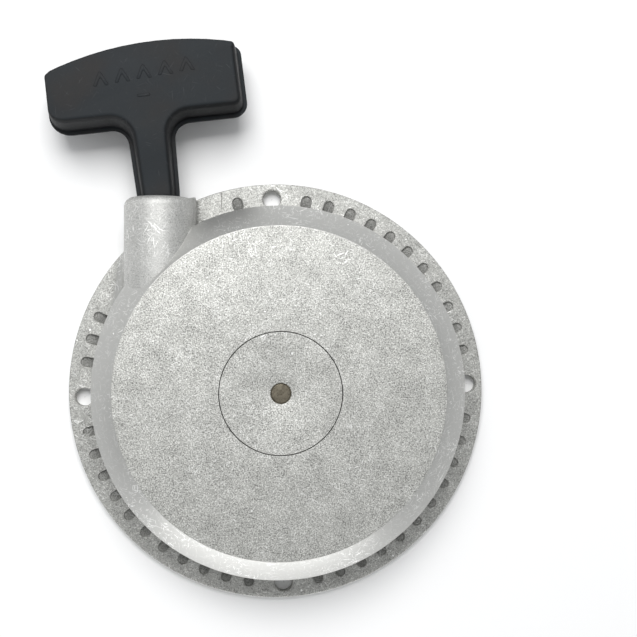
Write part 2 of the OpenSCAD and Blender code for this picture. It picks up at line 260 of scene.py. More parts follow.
def turned(name: str, loop: list[Vector], segments: int = 192, place: Matrix | None = None) -> Piece:
    """A solid of revolution about the local Z axis.

    Args:
        name: The object's name.
        loop: Closed outline as (radius, height).
        segments: Steps round the axis.
        place: Where the local frame goes; the starter's own frame if left out.

    Returns:
        The solid.
    """
    place = place or Matrix.Identity(4)
    points = []
    for i in range(segments):
        angle = math.tau * i / segments
        points += [place @ Vector((p.x * math.cos(angle), p.x * math.sin(angle), p.y)) for p in loop]
    return solid(name, points, skin_of_rings(segments, len(loop), True))


def lathe(
    name: str, *points: tuple[float, ...], segments: int = 96, place: Matrix | None = None
) -> Piece:
    """A turned part from millimetre corners.

    Args:
        name: The object's name.
        points: (radius, height) or (radius, height, rounding) of each corner.
        segments: Steps round the axis.
        place: Where the local frame goes.

    Returns:
        The solid.
    """
    return turned(name, outline(corners_mm(*points), 4), segments, place)


def prism(name: str, layers: list[tuple[float, list[Vector]]], place: Matrix | None = None) -> Piece:
    """A solid through flat outlines of the same number of points, one above the other.

    Args:
        name: The object's name.
        layers: Height and outline of each layer.
        place: Where the local frame goes.

    Returns:
        The solid.
    """
    place = place or Matrix.Identity(4)
    points = [place @ Vector((p.x, p.y, height)) for height, loop in layers for p in loop]
    return solid(name, points, skin_of_rings(len(layers), len(layers[0][1]), False))


def swept(name: str, path: list[Vector], radius: float, sides: int = 12) -> Piece:
    """A round cord or wire along a path.

    Args:
        name: The object's name.
        path: The centre line's points.
        radius: The cord's radius.
        sides: Points round it.

    Returns:
        The solid.
    """
    points = []
    side = None
    for i, at in enumerate(path):
        along = (path[min(i + 1, len(path) - 1)] - path[max(i - 1, 0)]).normalized()
        if side is None:
            side = along.orthogonal().normalized()
        side = (side - along * side.dot(along)).normalized()
        up = along.cross(side)
        for k in range(sides):
            a = math.tau * k / sides
            points.append(at + radius * (side * math.cos(a) + up * math.sin(a)))
    return solid(name, points, skin_of_rings(len(path), sides, False))


def inset(loop: list[Vector], depth: float) -> list[Vector]:
    """The outline moved inward along its own normals.

    Args:
        loop: A closed outline, anticlockwise.
        depth: How far each point moves in.

    Returns:
        The moved outline, point for point.
    """
    moved = []
    for i, at in enumerate(loop):
        ahead = (loop[(i + 1) % len(loop)] - at).normalized()
        behind = (at - loop[i - 1]).normalized()
        mitre = Vector((-ahead.y - behind.y, ahead.x + behind.x)).normalized()
        stretch = max(0.5, mitre.dot(Vector((-ahead.y, ahead.x))))
        moved.append(at + mitre * (depth / stretch))
    return moved


def carve(target: Piece, tool: Piece, how: Carving) -> None:
    """Changes one solid by another, which is then removed.

    Args:
        target: The solid that changes.
        tool: The solid that changes it.
        how: Whether it is joined, cut away or kept in common.
    """
    step = target.modifiers.new("carve", "BOOLEAN")
    step.operation = how.value
    step.solver = "EXACT"
    step.object = tool
    settle(target)
    bpy.data.objects.remove(tool)


def settle(target: Piece) -> None:
    """Makes the modifiers of an object part of its mesh.

    Args:
        target: The object.
    """
    bpy.context.view_layer.update()
    view = bpy.context.evaluated_depsgraph_get()
    mesh = bpy.data.meshes.new_from_object(target.evaluated_get(view))
    target.modifiers.clear()
    target.data = mesh


def gather(first: Piece, *others: Piece) -> Piece:
    """Puts the meshes of several objects into the first one.

    Args:
        first: The object that stays.
        others: The objects that are emptied into it and removed.

    Returns:
        The first object.
    """
    shape = bmesh.new()
    for piece in (first, *others):
        shape.from_mesh(piece.data)
    shape.to_mesh(first.data)
    shape.free()
    for piece in others:
        bpy.data.objects.remove(piece)
    return first


def soften(target: Piece, sharp_over: float = 32.0) -> None:
    """Smooth shading that keeps the edges sharper than an angle.

    Args:
        target: The object.
        sharp_over: The angle in degrees.
    """
    target.data.shade_smooth()
    target.data.set_sharp_from_angle(angle=math.radians(sharp_over))


def bevel_edges(target: Piece, width: float, segments: int = 2, over: float = 35.0) -> None:
    """Rounds the edges of a solid that are sharper than an angle.

    Args:
        target: The object.
        width: The bevel's width.
        segments: Steps across it.
        over: The angle in degrees.
    """
    step = target.modifiers.new("edges", "BEVEL")
    step.width = width
    step.segments = segments
    step.limit_method = "ANGLE"
    step.angle_limit = math.radians(over)
    step.harden_normals = False
    settle(target)


def polar(radius: float, degrees: float) -> Vector:
    """A point of the XY plane from its radius and its angle in degrees."""
    return Vector((radius * math.cos(math.radians(degrees)), radius * math.sin(math.radians(degrees))))


def about_z(degrees: float) -> Matrix:
    """A turn about +Z in degrees."""
    return Matrix.Rotation(math.radians(degrees), 4, "Z")


# ---------------------------------------------------------------------------
# Shader bench
# ---------------------------------------------------------------------------


class NodeBench:
    """Adds and links the nodes of one node tree."""

    def __init__(self, tree: bpy.types.NodeTree) -> None:
        """Starts on a node tree.

        Args:
            tree: The tree that the nodes go in.
        """
        self.tree = tree

    def add(self, kind: str, **settings: object) -> bpy.types.Node:
        """Adds one node.

        Args:
            kind: The node's type, without its ShaderNode prefix.
            settings: Properties of the node.

        Returns:
            The node.
        """
        node = self.tree.nodes.new("ShaderNode" + kind)
        for name, value in settings.items():
            setattr(node, name, value)
        return node

    def feed(self, node: bpy.types.Node, socket: str | int, source: object) -> None:
        """Gives an input socket a value or a link.

        Args:
            node: The node.
            socket: Its input.
            source: A number, a tuple or another node's output.
        """
        if isinstance(source, Socket):
            self.tree.links.new(source, node.inputs[socket])
        else:
            node.inputs[socket].default_value = source

    def math(self, operation: str, a: object, b: object = 0.0, clamp: bool = False) -> Socket:
        """The result of one sum.

        Args:
            operation: The Math node's operation.
            a: First value.
            b: Second value.
            clamp: True keeps the result from 0 to 1.

        Returns:
            The result's socket.
        """
        node = self.add("Math", operation=operation, use_clamp=clamp)
        self.feed(node, 0, a)
        if operation not in ("ABSOLUTE", "SQRT", "FRACT", "FLOOR"):
            self.feed(node, 1, b)
        return node.outputs[0]

    def split(self, vector: Socket) -> list[Socket]:
        """The X, Y and Z of a vector.

        Args:
            vector: The vector's socket.

        Returns:
            The three sockets.
        """
        node = self.add("SeparateXYZ")
        self.feed(node, 0, vector)
        return list(node.outputs)

    def facing_up(self) -> Socket:
        """How far the surface faces up, from -1 to 1."""
        return self.split(self.add("TexCoord").outputs["Normal"])[2]

    def plus(self, a: object, b: object) -> Socket:
        """The sum of two values."""
        return self.math("ADD", a, b)

    def minus(self, a: object, b: object) -> Socket:
        """The first value less the second."""
        return self.math("SUBTRACT", a, b)

    def times(self, a: object, b: object) -> Socket:
        """The product of two values."""
        return self.math("MULTIPLY", a, b)

    def noise(self, place: object, scale: object, detail: float = 2.0, rough: float = 0.5) -> Socket:
        """A noise value over the surface.

        Args:
            place: The position socket.
            scale: Features to a metre, a number or a socket.
            detail: Octaves.
            rough: How strong the finer octaves are.

        Returns:
            The noise's socket.
        """
        node = self.add("TexNoise")
        self.feed(node, "Vector", place)
        self.feed(node, "Scale", scale)
        self.feed(node, "Detail", detail)
        self.feed(node, "Roughness", rough)
        return node.outputs[0]

    def step(self, value: object, low: float, high: float) -> Socket:
        """A smooth step from 0 at low to 1 at high.

        Args:
            value: The value's socket.
            low: Where the step starts.
            high: Where it ends.

        Returns:
            The step's socket.
        """
        node = self.add("MapRange", interpolation_type="SMOOTHSTEP")
        self.feed(node, "Value", value)
        if low < high:
            self.feed(node, "From Min", low)
            self.feed(node, "From Max", high)
        else:
            self.feed(node, "From Min", high)
            self.feed(node, "From Max", low)
            self.feed(node, "To Min", 1.0)
            self.feed(node, "To Max", 0.0)
        return node.outputs[0]

    def mix(self, amount: object, a: object, b: object) -> Socket:
        """A mix of two colours.

        Args:
            amount: 0 gives the first, 1 the second.
            a: First colour.
            b: Second colour.

        Returns:
            The mixed colour's socket.
        """
        node = self.add("Mix", data_type="RGBA")
        self.feed(node, 0, amount)
        self.feed(node, 6, a)
        self.feed(node, 7, b)
        return node.outputs[2]

    def bump(self, height: object, distance: float, strength: float = 1.0) -> Socket:
        """A normal that is bumped by a height.

        Args:
            height: The height's socket, 0 to 1.
            distance: How deep a height of 1 is, in metres.
            strength: How much of it shows.

        Returns:
            The normal's socket.
        """
        node = self.add("Bump")
        self.feed(node, "Height", height)
        self.feed(node, "Distance", distance)
        self.feed(node, "Strength", strength)
        return node.outputs[0]


def shared_group(
    name: str, inputs: list[tuple[str, str, object]], outputs: list[str]
) -> tuple[NodeBench, dict]:
    """A new shader node group with named sockets.

    Args:
        name: The group's name.
        inputs: Name, kind (Vector, Float) and default of each input.
        outputs: The names of the float outputs.

    Returns:
        The bench of the group's tree, and its input sockets and output node by name.
    """
    tree = bpy.data.node_groups.new(name, "ShaderNodeTree")
    for socket, kind, default in inputs:
        made = tree.interface.new_socket(socket, in_out="INPUT", socket_type="NodeSocket" + kind)
        if default is not None:
            made.default_value = default
    for socket in outputs:
        tree.interface.new_socket(socket, in_out="OUTPUT", socket_type="NodeSocketFloat")
    bench = NodeBench(tree)
    ends = {socket.name: socket for socket in tree.nodes.new("NodeGroupInput").outputs}
    ends["out"] = tree.nodes.new("NodeGroupOutput")
    return bench, ends


class SharedEffects:
    """Node groups that several finishes place, each built once."""

    def __init__(self) -> None:
        """Builds the groups."""
        self.grain = self._grain()
        self.scratches = self._scratches()
        self.nicks = self._nicks()
        self.weave = self._weave()

    def _grain(self) -> bpy.types.NodeTree:
        """Fine blasted or cast grain.

        Returns:
            The group, with outputs Height (0 to 1) and Tone (about 0.5, lighter and darker specks).
        """
        bench, ends = shared_group(
            "blasted_grain",
            [("Place", "Vector", None), ("Scale", "Float", 1800.0), ("Clumps", "Float", 0.35)],
            ["Height", "Tone"],
        )
        fine = bench.noise(ends["Place"], ends["Scale"], 3.0, 0.65)
        clump = bench.noise(ends["Place"], bench.times(ends["Scale"], 0.07), 3.0)
        spread = bench.times(bench.minus(clump, 0.5), ends["Clumps"])
        tone = bench.plus(bench.step(fine, 0.3, 0.7), spread)
        bench.feed(ends["out"], "Height", bench.step(fine, 0.25, 0.75))
        bench.feed(ends["out"], "Tone", tone)
        return bench.tree

    def _scratches(self) -> bpy.types.NodeTree:
        """Thin short scratches in several directions.

        Returns:
            The group, with the output Mask.
        """
        bench, ends = shared_group(
            "handling_scratches",
            [("Place", "Vector", None), ("Fineness", "Float", 1.0), ("Amount", "Float", 0.5)],
            ["Mask"],
        )
        total = None
        for turn, shift in ((0.2, 0.0), (0.75, 3.1), (1.45, 7.7), (2.1, 5.3), (2.75, 1.9)):
            mapping = bench.add("Mapping")
            bench.feed(mapping, "Vector", ends["Place"])
            bench.feed(mapping, "Rotation", (0.0, 0.0, turn))
            bench.feed(mapping, "Location", (shift, shift * 0.7, 0.0))
            squeeze = bench.add("VectorMath", operation="MULTIPLY")
            bench.feed(squeeze, 0, mapping.outputs[0])
            bench.feed(squeeze, 1, (230.0, 2500.0, 500.0))
            scaled = bench.add("VectorMath", operation="SCALE")
            bench.feed(scaled, 0, squeeze.outputs[0])
            bench.feed(scaled, "Scale", ends["Fineness"])
            line = bench.noise(scaled.outputs[0], 1.0, 1.0, 0.4)
            limit = bench.minus(0.76, bench.times(ends["Amount"], 0.14))
            over = bench.math("MULTIPLY", bench.math("SUBTRACT", line, limit), 11.0, clamp=True)
            total = over if total is None else bench.math("ADD", total, over, clamp=True)
        bench.feed(ends["out"], "Mask", total)
        return bench.tree

    def _nicks(self) -> bpy.types.NodeTree:
        """Small bright dents here and there.

        Returns:
            The group, with the output Mask.
        """
        bench, ends = shared_group(
            "small_nicks",
            [("Place", "Vector", None), ("Scale", "Float", 160.0), ("Size", "Float", 0.09)],
            ["Mask"],
        )
        warp = bench.noise(ends["Place"], 900.0, 2.0)
        cells = bench.add("TexVoronoi", feature="F1")
        bench.feed(cells, "Vector", ends["Place"])
        bench.feed(cells, "Scale", ends["Scale"])
        reach = bench.times(ends["Size"], bench.plus(warp, 0.4))
        near = bench.math("LESS_THAN", cells.outputs["Distance"], reach)
        chosen = bench.add("SeparateColor")
        bench.feed(chosen, 0, cells.outputs["Color"])
        keep = bench.math("GREATER_THAN", chosen.outputs[0], 0.8)
        bench.feed(ends["out"], "Mask", bench.times(near, keep))
        return bench.tree

    def _weave(self) -> bpy.types.NodeTree:
        """The over and under of a round braid, eight strands each way.

        Returns:
            The group, with outputs Height (1 on a strand's crown, 0 between strands) and Marked (1 on one
            strand).
        """
        bench, ends = shared_group(
            "braid_weave", [("Turn", "Float", 0.0), ("Run", "Float", 0.0)], ["Height", "Marked"]
        )
        strands = 8.0
        numbers = []
        crowns = []
        for operation in ("SUBTRACT", "ADD"):
            across = bench.times(bench.math(operation, ends["Turn"], ends["Run"]), strands)
            across = bench.plus(across, 0.5)
            off = bench.minus(bench.math("FRACT", across), 0.5)
            numbers.append(bench.math("FLOOR", across))
            crowns.append(bench.times(bench.math("ABSOLUTE", off), 2.0))
        under = bench.math("FLOORED_MODULO", bench.plus(numbers[0], numbers[1]), 2.0)
        over = bench.minus(1.0, under)
        off = bench.plus(bench.times(crowns[0], over), bench.times(crowns[1], under))
        bench.feed(ends["out"], "Height", bench.minus(1.0, bench.times(off, off)))
        first = bench.math("LESS_THAN", bench.math("FLOORED_MODULO", numbers[0], strands), 0.5)
        bench.feed(ends["out"], "Marked", bench.times(first, over))
        return bench.tree


# ---------------------------------------------------------------------------
# Finishes
# ---------------------------------------------------------------------------


@dataclass(frozen=True)
class Finish:
    """A surface finish: what every one of them shares."""

    name: str
    effects: SharedEffects

    def start(self) -> tuple[bpy.types.Material, NodeBench, bpy.types.Node, Socket]:
        """Makes the empty material.

        Returns:
            The material, its bench, its shader and the position socket.
        """
        material = bpy.data.materials.new(self.name)
        material.use_nodes = True
        bench = NodeBench(material.node_tree)
        shader = material.node_tree.nodes["Principled BSDF"]
        place = bench.add("TexCoord").outputs["Object"]
        return material, bench, shader, place

    def group(self, bench: NodeBench, tree: bpy.types.NodeTree, **inputs: object) -> bpy.types.Node:
        """Places a shared group in a material.

        Args:
            bench: The material's bench.
            tree: The group.
            inputs: Its input values by name.

        Returns:
            The group's node.
        """
        node = bench.add("Group")
        node.node_tree = tree
        for name, value in inputs.items():
            bench.feed(node, name, value)
        return node


@dataclass(frozen=True)
class CastAluminium(Finish):
    """Blasted die casting: speckled flat face, smoother chamfer and wall, light scratches, and painted shade
    in the scored groove and on the slot floors.
    """

    face_z: float = 0.0
    face_r: float = 0.0
    flange_z: float = 0.0
    tube_x: float = 0.0
    tube_z: float = 0.0
    tube_r: float = 0.0
    score_r: float = 0.0
    face_tone: tuple = (0.47, 0.47, 0.445, 1.0)
    flange_tone: tuple = (0.42, 0.42, 0.40, 1.0)
    skin_tone: tuple = (0.47, 0.47, 0.455, 1.0)
    tube_tone: tuple = (0.52, 0.52, 0.505, 1.0)
    dark_speck: tuple = (0.12, 0.12, 0.115, 1.0)
    bright_speck: tuple = (0.84, 0.84, 0.81, 1.0)
    # Dark tone of the painted shade in the scored groove and on the slot floors.
    painted_shade_tone: tuple = (0.05, 0.05, 0.045, 1.0)

    def build(self) -> bpy.types.Material:
        """Builds the material.

        Returns:
            The material.
        """
        material, bench, shader, place = self.start()
        x, y, z = bench.split(place)
        radius = bench.math("SQRT", bench.plus(bench.times(x, x), bench.times(y, y)))
        edge = bench.plus(radius, bench.times(bench.noise(place, 180.0, 3.0), 0.8 * MM))
        on_face = bench.times(
            bench.step(z, self.face_z - 0.35 * MM, self.face_z - 0.2 * MM),
            bench.step(edge, self.face_r + 0.6 * MM, self.face_r + 0.1 * MM),
        )
        on_flange = bench.step(z, self.flange_z + 1.0 * MM, self.flange_z + 0.3 * MM)
        across = bench.minus(x, self.tube_x)
        above = bench.minus(z, self.tube_z)
        squares = bench.plus(bench.times(across, across), bench.times(above, above))
        axis_r = bench.math("SQRT", squares)
        on_tube = bench.times(
            bench.step(axis_r, self.tube_r + 0.5 * MM, self.tube_r + 0.15 * MM),
            bench.step(y, 34.0 * MM, 42.0 * MM),
        )
        off_face = bench.minus(1.0, on_face)
        on_tube = bench.times(on_tube, off_face)
        rest = bench.math("MAXIMUM", bench.times(on_flange, 0.8), bench.times(on_tube, 0.6))
        blasted = bench.math("MAXIMUM", on_face, rest)

        grain = self.group(bench, self.effects.grain, Place=place, Scale=2100.0, Clumps=0.5)
        tone = bench.plus(bench.times(bench.minus(grain.outputs["Tone"], 0.5), blasted), 0.5)
        base = bench.mix(on_face, self.skin_tone, self.face_tone)
        base = bench.mix(on_flange, base, self.flange_tone)
        base = bench.mix(on_tube, base, self.tube_tone)
        darker = bench.step(tone, 0.44, 0.0)
        lighter = bench.step(tone, 0.60, 1.0)
        colour = bench.mix(bench.times(darker, 0.85), base, self.dark_speck)
        colour = bench.mix(bench.times(lighter, 0.9), colour, self.bright_speck)
        haze = bench.step(bench.noise(place, 28.0, 4.0, 0.6), 0.35, 0.75)
        colour = bench.mix(bench.times(haze, 0.16), colour, (0.42, 0.42, 0.40, 1.0))
        scratch = self.group(bench, self.effects.scratches, Place=place, Fineness=1.0, Amount=0.72)
        wide = bench.step(bench.noise(place, 60.0, 3.0), 0.40, 0.72)
        marks = bench.times(scratch.outputs[0], bench.plus(bench.times(wide, 0.8), 0.2))
        nick = self.group(bench, self.effects.nicks, Place=place, Scale=190.0, Size=0.09)
        marks = bench.math("MAXIMUM", marks, bench.times(nick.outputs[0], 0.9))
        colour = bench.mix(marks, colour, (0.93, 0.93, 0.91, 1.0))
        # Painted shade: the scored groove is darkened with the dark tone.
        off_score = bench.math("ABSOLUTE", bench.minus(radius, self.score_r))
        painted_groove_shade = bench.times(
            bench.step(off_score, 0.30 * MM, 0.12 * MM),
            bench.step(z, self.face_z - 0.02 * MM, self.face_z - 0.12 * MM),
        )
        colour = bench.mix(bench.times(painted_groove_shade, 0.9), colour, self.painted_shade_tone)
        # Painted shade: the upward faces of the slot floors below the flange top are darkened.
        painted_slot_shade = bench.times(
            bench.step(z, self.flange_z - 0.2 * MM, self.flange_z - 1.6 * MM),
            bench.step(bench.facing_up(), 0.5, 0.9),
        )
        colour = bench.mix(bench.times(painted_slot_shade, 0.5), colour, self.painted_shade_tone)
        bench.feed(shader, "Base Color", colour)

        rough = bench.plus(0.40, bench.times(blasted, 0.14))
        matt = bench.plus(bench.times(on_flange, 0.10), bench.times(on_tube, 0.12))
        rough = bench.plus(rough, matt)
        rough = bench.minus(rough, bench.times(marks, 0.16))
        bench.feed(shader, "Roughness", rough)
        shader.inputs["Metallic"].default_value = 0.78
        depth = bench.plus(bench.times(blasted, 0.55), 0.45)
        height = bench.times(grain.outputs["Height"], depth)
        height = bench.minus(height, bench.times(marks, 0.5))
        bench.feed(shader, "Normal", bench.bump(height, 0.05 * MM, 0.55))
        return material


@dataclass(frozen=True)
class MouldedRubber(Finish):
    """Black moulded rubber: dark edges and a front painted greyer where it faces up (painted light), with
    dust and scuffs on that front.
    """

    tone: tuple = (0.0065, 0.0075, 0.0085, 1.0)
    # Painted light: the lighter tone of the faces that look up.
    painted_top_light_tone: tuple = (0.015, 0.0185, 0.0215, 1.0)
    dust_tone: tuple = (0.034, 0.030, 0.028, 1.0)
    scuff_tone: tuple = (0.07, 0.072, 0.076, 1.0)

    def build(self) -> bpy.types.Material:
        """Builds the material.

        Returns:
            The material.
        """
        material, bench, shader, place = self.start()
        # Painted light: faces that look up get the lighter tone; the same mask also places dust and
        # roughness.
        lit_and_dusty_top = bench.step(bench.facing_up(), 0.80, 0.985)
        colour = bench.mix(lit_and_dusty_top, self.tone, self.painted_top_light_tone)
        dust = bench.step(bench.noise(place, 38.0, 4.0, 0.55), 0.42, 0.72)
        dusty = bench.times(bench.times(dust, lit_and_dusty_top), 0.62)
        colour = bench.mix(dusty, colour, self.dust_tone)
        scratch = self.group(bench, self.effects.scratches, Place=place, Fineness=0.8, Amount=0.22)
        colour = bench.mix(bench.times(scratch.outputs[0], 0.35), colour, self.scuff_tone)
        bench.feed(shader, "Base Color", colour)
        grain = self.group(bench, self.effects.grain, Place=place, Scale=1900.0, Clumps=0.3)
        rough = bench.plus(0.50, bench.times(lit_and_dusty_top, 0.10))
        rough = bench.plus(rough, bench.times(dust, 0.12))
        bench.feed(shader, "Roughness", bench.plus(rough, bench.times(grain.outputs["Tone"], 0.06)))
        shader.inputs["Specular IOR Level"].default_value = 0.22
        bench.feed(shader, "Normal", bench.bump(grain.outputs["Height"], 0.03 * MM, 0.35))
        return material


@dataclass(frozen=True)
class WorkedMetal(Finish):
    """Plated, blued, hardened or oxidised steel, and bronze: tone, film and roughness as named."""

    tone: tuple = (0.6, 0.61, 0.62, 1.0)
    film: tuple = (0.4, 0.4, 0.4, 1.0)
    film_amount: float = 0.3
    film_scale: float = 120.0
    roughness: float = 0.34
    metallic: float = 1.0
    grain_scale: float = 2200.0
    grain_depth: float = 0.02
    scratch_amount: float = 0.5

    def build(self) -> bpy.types.Material:
        """Builds the material.

        Returns:
            The material.
        """
        material, bench, shader, place = self.start()
        grain = self.group(bench, self.effects.grain, Place=place, Scale=self.grain_scale, Clumps=0.4)
        patch = bench.step(bench.noise(place, self.film_scale, 4.0, 0.6), 0.35, 0.7)
        colour = bench.mix(bench.times(patch, self.film_amount), self.tone, self.film)
        colour = bench.mix(bench.times(bench.step(grain.outputs["Tone"], 0.4, 0.0), 0.5), colour, self.film)
        scratch = self.group(
            bench, self.effects.scratches, Place=place, Fineness=1.6, Amount=self.scratch_amount,
        )
        bright = tuple(min(1.0, 1.35 * c) for c in self.tone[:3]) + (1.0,)
        colour = bench.mix(bench.times(scratch.outputs[0], 0.6), colour, bright)
        bench.feed(shader, "Base Color", colour)
        rough = bench.plus(self.roughness, bench.times(patch, 0.12))
        bench.feed(shader, "Roughness", bench.minus(rough, bench.times(scratch.outputs[0], 0.1)))
        shader.inputs["Metallic"].default_value = self.metallic
        bench.feed(shader, "Normal", bench.bump(grain.outputs["Height"], self.grain_depth * MM, 0.5))
        return material


@dataclass(frozen=True)
class MouldedNylon(Finish):
    """Moulded plastic with a soft sheen, faint flow marks and rubbed dirt."""

    tone: tuple = (0.62, 0.59, 0.50, 1.0)
    dirt: tuple = (0.33, 0.30, 0.25, 1.0)
    dirt_amount: float = 0.35
    roughness: float = 0.42

    def build(self) -> bpy.types.Material:
        """Builds the material.

        Returns:
            The material.
        """
        material, bench, shader, place = self.start()
        patch = bench.step(bench.noise(place, 70.0, 5.0, 0.65), 0.45, 0.75)
        colour = bench.mix(bench.times(patch, self.dirt_amount), self.tone, self.dirt)
        scratch = self.group(bench, self.effects.scratches, Place=place, Fineness=1.5, Amount=0.55)
        colour = bench.mix(bench.times(scratch.outputs[0], 0.3), colour, self.dirt)
        bench.feed(shader, "Base Color", colour)
        grain = self.group(bench, self.effects.grain, Place=place, Scale=1400.0, Clumps=0.3)
        bench.feed(shader, "Roughness", bench.plus(self.roughness, bench.times(patch, 0.14)))
        bench.feed(shader, "Normal", bench.bump(grain.outputs["Height"], 0.02 * MM, 0.4))
        return material


@dataclass(frozen=True)
class BraidedCord(Finish):
    """Braided nylon cord with one dark marker strand and painted shade between the strands.

    The coil and the knots are wrapped with texture coordinates; the lead's braid is worked out from the place
    instead.
    """

    straight: bool = False
    lay: float = 14.0 * MM
    axis_x: float = -46.35 * MM
    axis_z: float = 17.25 * MM
    tone: tuple = (0.66, 0.64, 0.58, 1.0)
    # Dark tone of the painted shade between strands, also used for soil and fibre.
    shade_and_soil_tone: tuple = (0.24, 0.225, 0.19, 1.0)
    marker_tone: tuple = (0.035, 0.05, 0.12, 1.0)

    def build(self) -> bpy.types.Material:
        """Builds the material.

        Returns:
            The material.
        """
        material, bench, shader, place = self.start()
        if self.straight:
            x, y, z = bench.split(place)
            across = bench.minus(x, self.axis_x)
            above = bench.minus(z, self.axis_z)
            turn = bench.times(bench.math("ARCTAN2", above, across), 1 / math.tau)
            run = bench.times(y, 1 / self.lay)
        else:
            turn, run, _ = bench.split(bench.add("TexCoord").outputs["UV"])
        weave = self.group(bench, self.effects.weave, Turn=turn, Run=run)
        fibre = bench.noise(place, 3800.0, 2.0, 0.6)
        soil = bench.step(bench.noise(place, 130.0, 3.0, 0.6), 0.45, 0.8)
        colour = bench.mix(weave.outputs["Marked"], self.tone, self.marker_tone)
        # Painted shade: the hollows between strands are darkened.
        painted_gap_shade = bench.step(weave.outputs["Height"], 0.55, 0.0)
        colour = bench.mix(bench.times(painted_gap_shade, 0.8), colour, self.shade_and_soil_tone)
        colour = bench.mix(bench.times(soil, 0.4), colour, self.shade_and_soil_tone)
        colour = bench.mix(bench.times(fibre, 0.2), colour, self.shade_and_soil_tone)
        bench.feed(shader, "Base Color", colour)
        bench.feed(shader, "Roughness", bench.plus(0.55, bench.times(fibre, 0.25)))
        height = bench.plus(bench.times(fibre, 0.15), weave.outputs["Height"])
        bench.feed(shader, "Normal", bench.bump(height, 0.3 * MM, 0.8))
        return material


class Finishes:
    """Every finish of the starter, built once and looked up by the record's slot."""

    def __init__(self, housing: "HousingSizes") -> None:
        """Builds the finishes.

        Args:
            housing: The casting's sizes, which place its blasted face.
        """
        effects = SharedEffects()
        made = {
            "cast_aluminium": CastAluminium(
                "cast_aluminium", effects, face_z=housing.height, face_r=housing.face_r,
                flange_z=housing.flange_t, tube_x=housing.tube_x, tube_z=housing.tube_z,
                tube_r=housing.tube_r, score_r=housing.score_r,
            ),
            "grip_rubber": MouldedRubber("grip_rubber", effects),
            "pin_steel": WorkedMetal(
                "pin_steel", effects, tone=(0.185, 0.165, 0.125, 1.0), film=(0.06, 0.05, 0.035, 1.0),
                film_amount=0.7, film_scale=420.0, roughness=0.42, metallic=0.75,
                grain_scale=1300.0, grain_depth=0.06,
            ),
            "rope_nylon": BraidedCord("rope_nylon", effects),
            "rope_nylon_lead": BraidedCord("rope_nylon_lead", effects, straight=True),
            "reel_nylon": MouldedNylon("reel_nylon", effects),
            "bush_plastic": MouldedNylon(
                "bush_plastic", effects, tone=(0.022, 0.022, 0.024, 1.0), dirt=(0.06, 0.055, 0.05, 1.0),
                roughness=0.3,
            ),
            "zinc_steel": WorkedMetal(
                "zinc_steel", effects, tone=(0.62, 0.63, 0.64, 1.0), film=(0.45, 0.44, 0.40, 1.0),
            ),
            "spring_steel": WorkedMetal(
                "spring_steel", effects, tone=(0.22, 0.235, 0.27, 1.0), film=(0.12, 0.09, 0.07, 1.0),
                roughness=0.3,
            ),
            "pawl_steel": WorkedMetal(
                "pawl_steel", effects, tone=(0.27, 0.26, 0.25, 1.0), film=(0.12, 0.11, 0.10, 1.0),
                roughness=0.4,
            ),
            "bronze": WorkedMetal(
                "bronze", effects, tone=(0.52, 0.36, 0.19, 1.0), film=(0.25, 0.16, 0.09, 1.0), roughness=0.38,
            ),
        }
        self.materials = {slot: finish.build() for slot, finish in made.items()}

    def dress(self, piece: Piece, slot: str, finish: str = "") -> None:
        """Gives a piece one finish all over.

        Args:
            piece: The piece.
            slot: The record's material slot.
            finish: The finish's name, where it isn't the slot's own.
        """
        piece.data.materials.clear()
        piece.data.materials.append(self.materials[finish or slot])


def install(piece: Piece, finishes: Finishes, slot: str, body: str, *nodes: str) -> Piece:
    """Finishes a piece, puts it on its body and lets it stand for CAD nodes.

    Args:
        piece: The piece.
        finishes: The starter's finishes.
        slot: The record's material slot.
        body: The body that it moves with.
        nodes: The CAD nodes that it stands for.

    Returns:
        The piece.
    """
    finishes.dress(piece, slot)
    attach(piece, body)
    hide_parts(*nodes)
    return piece


# ---------------------------------------------------------------------------
# Housing
# ---------------------------------------------------------------------------


def mount(name: str) -> dict:
    """The record's mount of that name."""
    return next(m for m in frame["record"]["mounts"] if m["name"] == name)


@dataclass(frozen=True)
class HousingSizes:
    """The casting's sizes, read from the frame where it holds them."""

    flange_r: float
    height: float
    tube_x: float
    tube_z: float
    mouth_y: float
    pin_r: float = 4.0 * MM
    hole_circle_r: float = 76.5 * MM
    hole_r: float = 3.5 * MM
    flange_t: float = 4.0 * MM
    wall_r: float = 73.5 * MM
    wall_top_r: float = 71.9 * MM
    chamfer: float = 8.3 * MM
    face_r: float = 63.5 * MM
    wall_t: float = 3.5 * MM
    tube_r: float = 13.8 * MM
    mouth_r: float = 10.2 * MM
    hole_turn: float = 1.8
    slot_w: float = 3.8 * MM
    slot_reach: float = 78.5 * MM
    slot_h: float = 12.0 * MM
    slot_lip: float = 0.6 * MM
    sill_z: float = 2.0 * MM
    boss_r: float = 12.0 * MM
    boss_z: float = 19.9 * MM
    score_r: float = 23.4 * MM
    bush_depth: float = 9.5 * MM
    bolt_face_r: float = 5.6 * MM

    @classmethod
    def from_frame(cls) -> "HousingSizes":
        """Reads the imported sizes.

        Returns:
            The sizes.
        """
        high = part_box("housing")[1]
        bush_low, bush_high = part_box("rope_guide_bush")
        middle = (bush_low + bush_high) / 2
        dims = mount("flange_bolts")["dims"]
        return cls(
            flange_r=high.x,
            height=high.z,
            tube_x=middle.x,
            tube_z=middle.z,
            mouth_y=bush_high.y + 6.5 * MM,
            hole_circle_r=dims["pcd_mm"] / 2 * MM,
            hole_r=dims["hole_r_mm"] * MM,
        )

    def tube_frame(self) -> Matrix:
        """A frame on the tube's axis, for outlines that are turned about +Y."""
        return Matrix.Translation((self.tube_x, 0, self.tube_z)) @ ALONG_Y


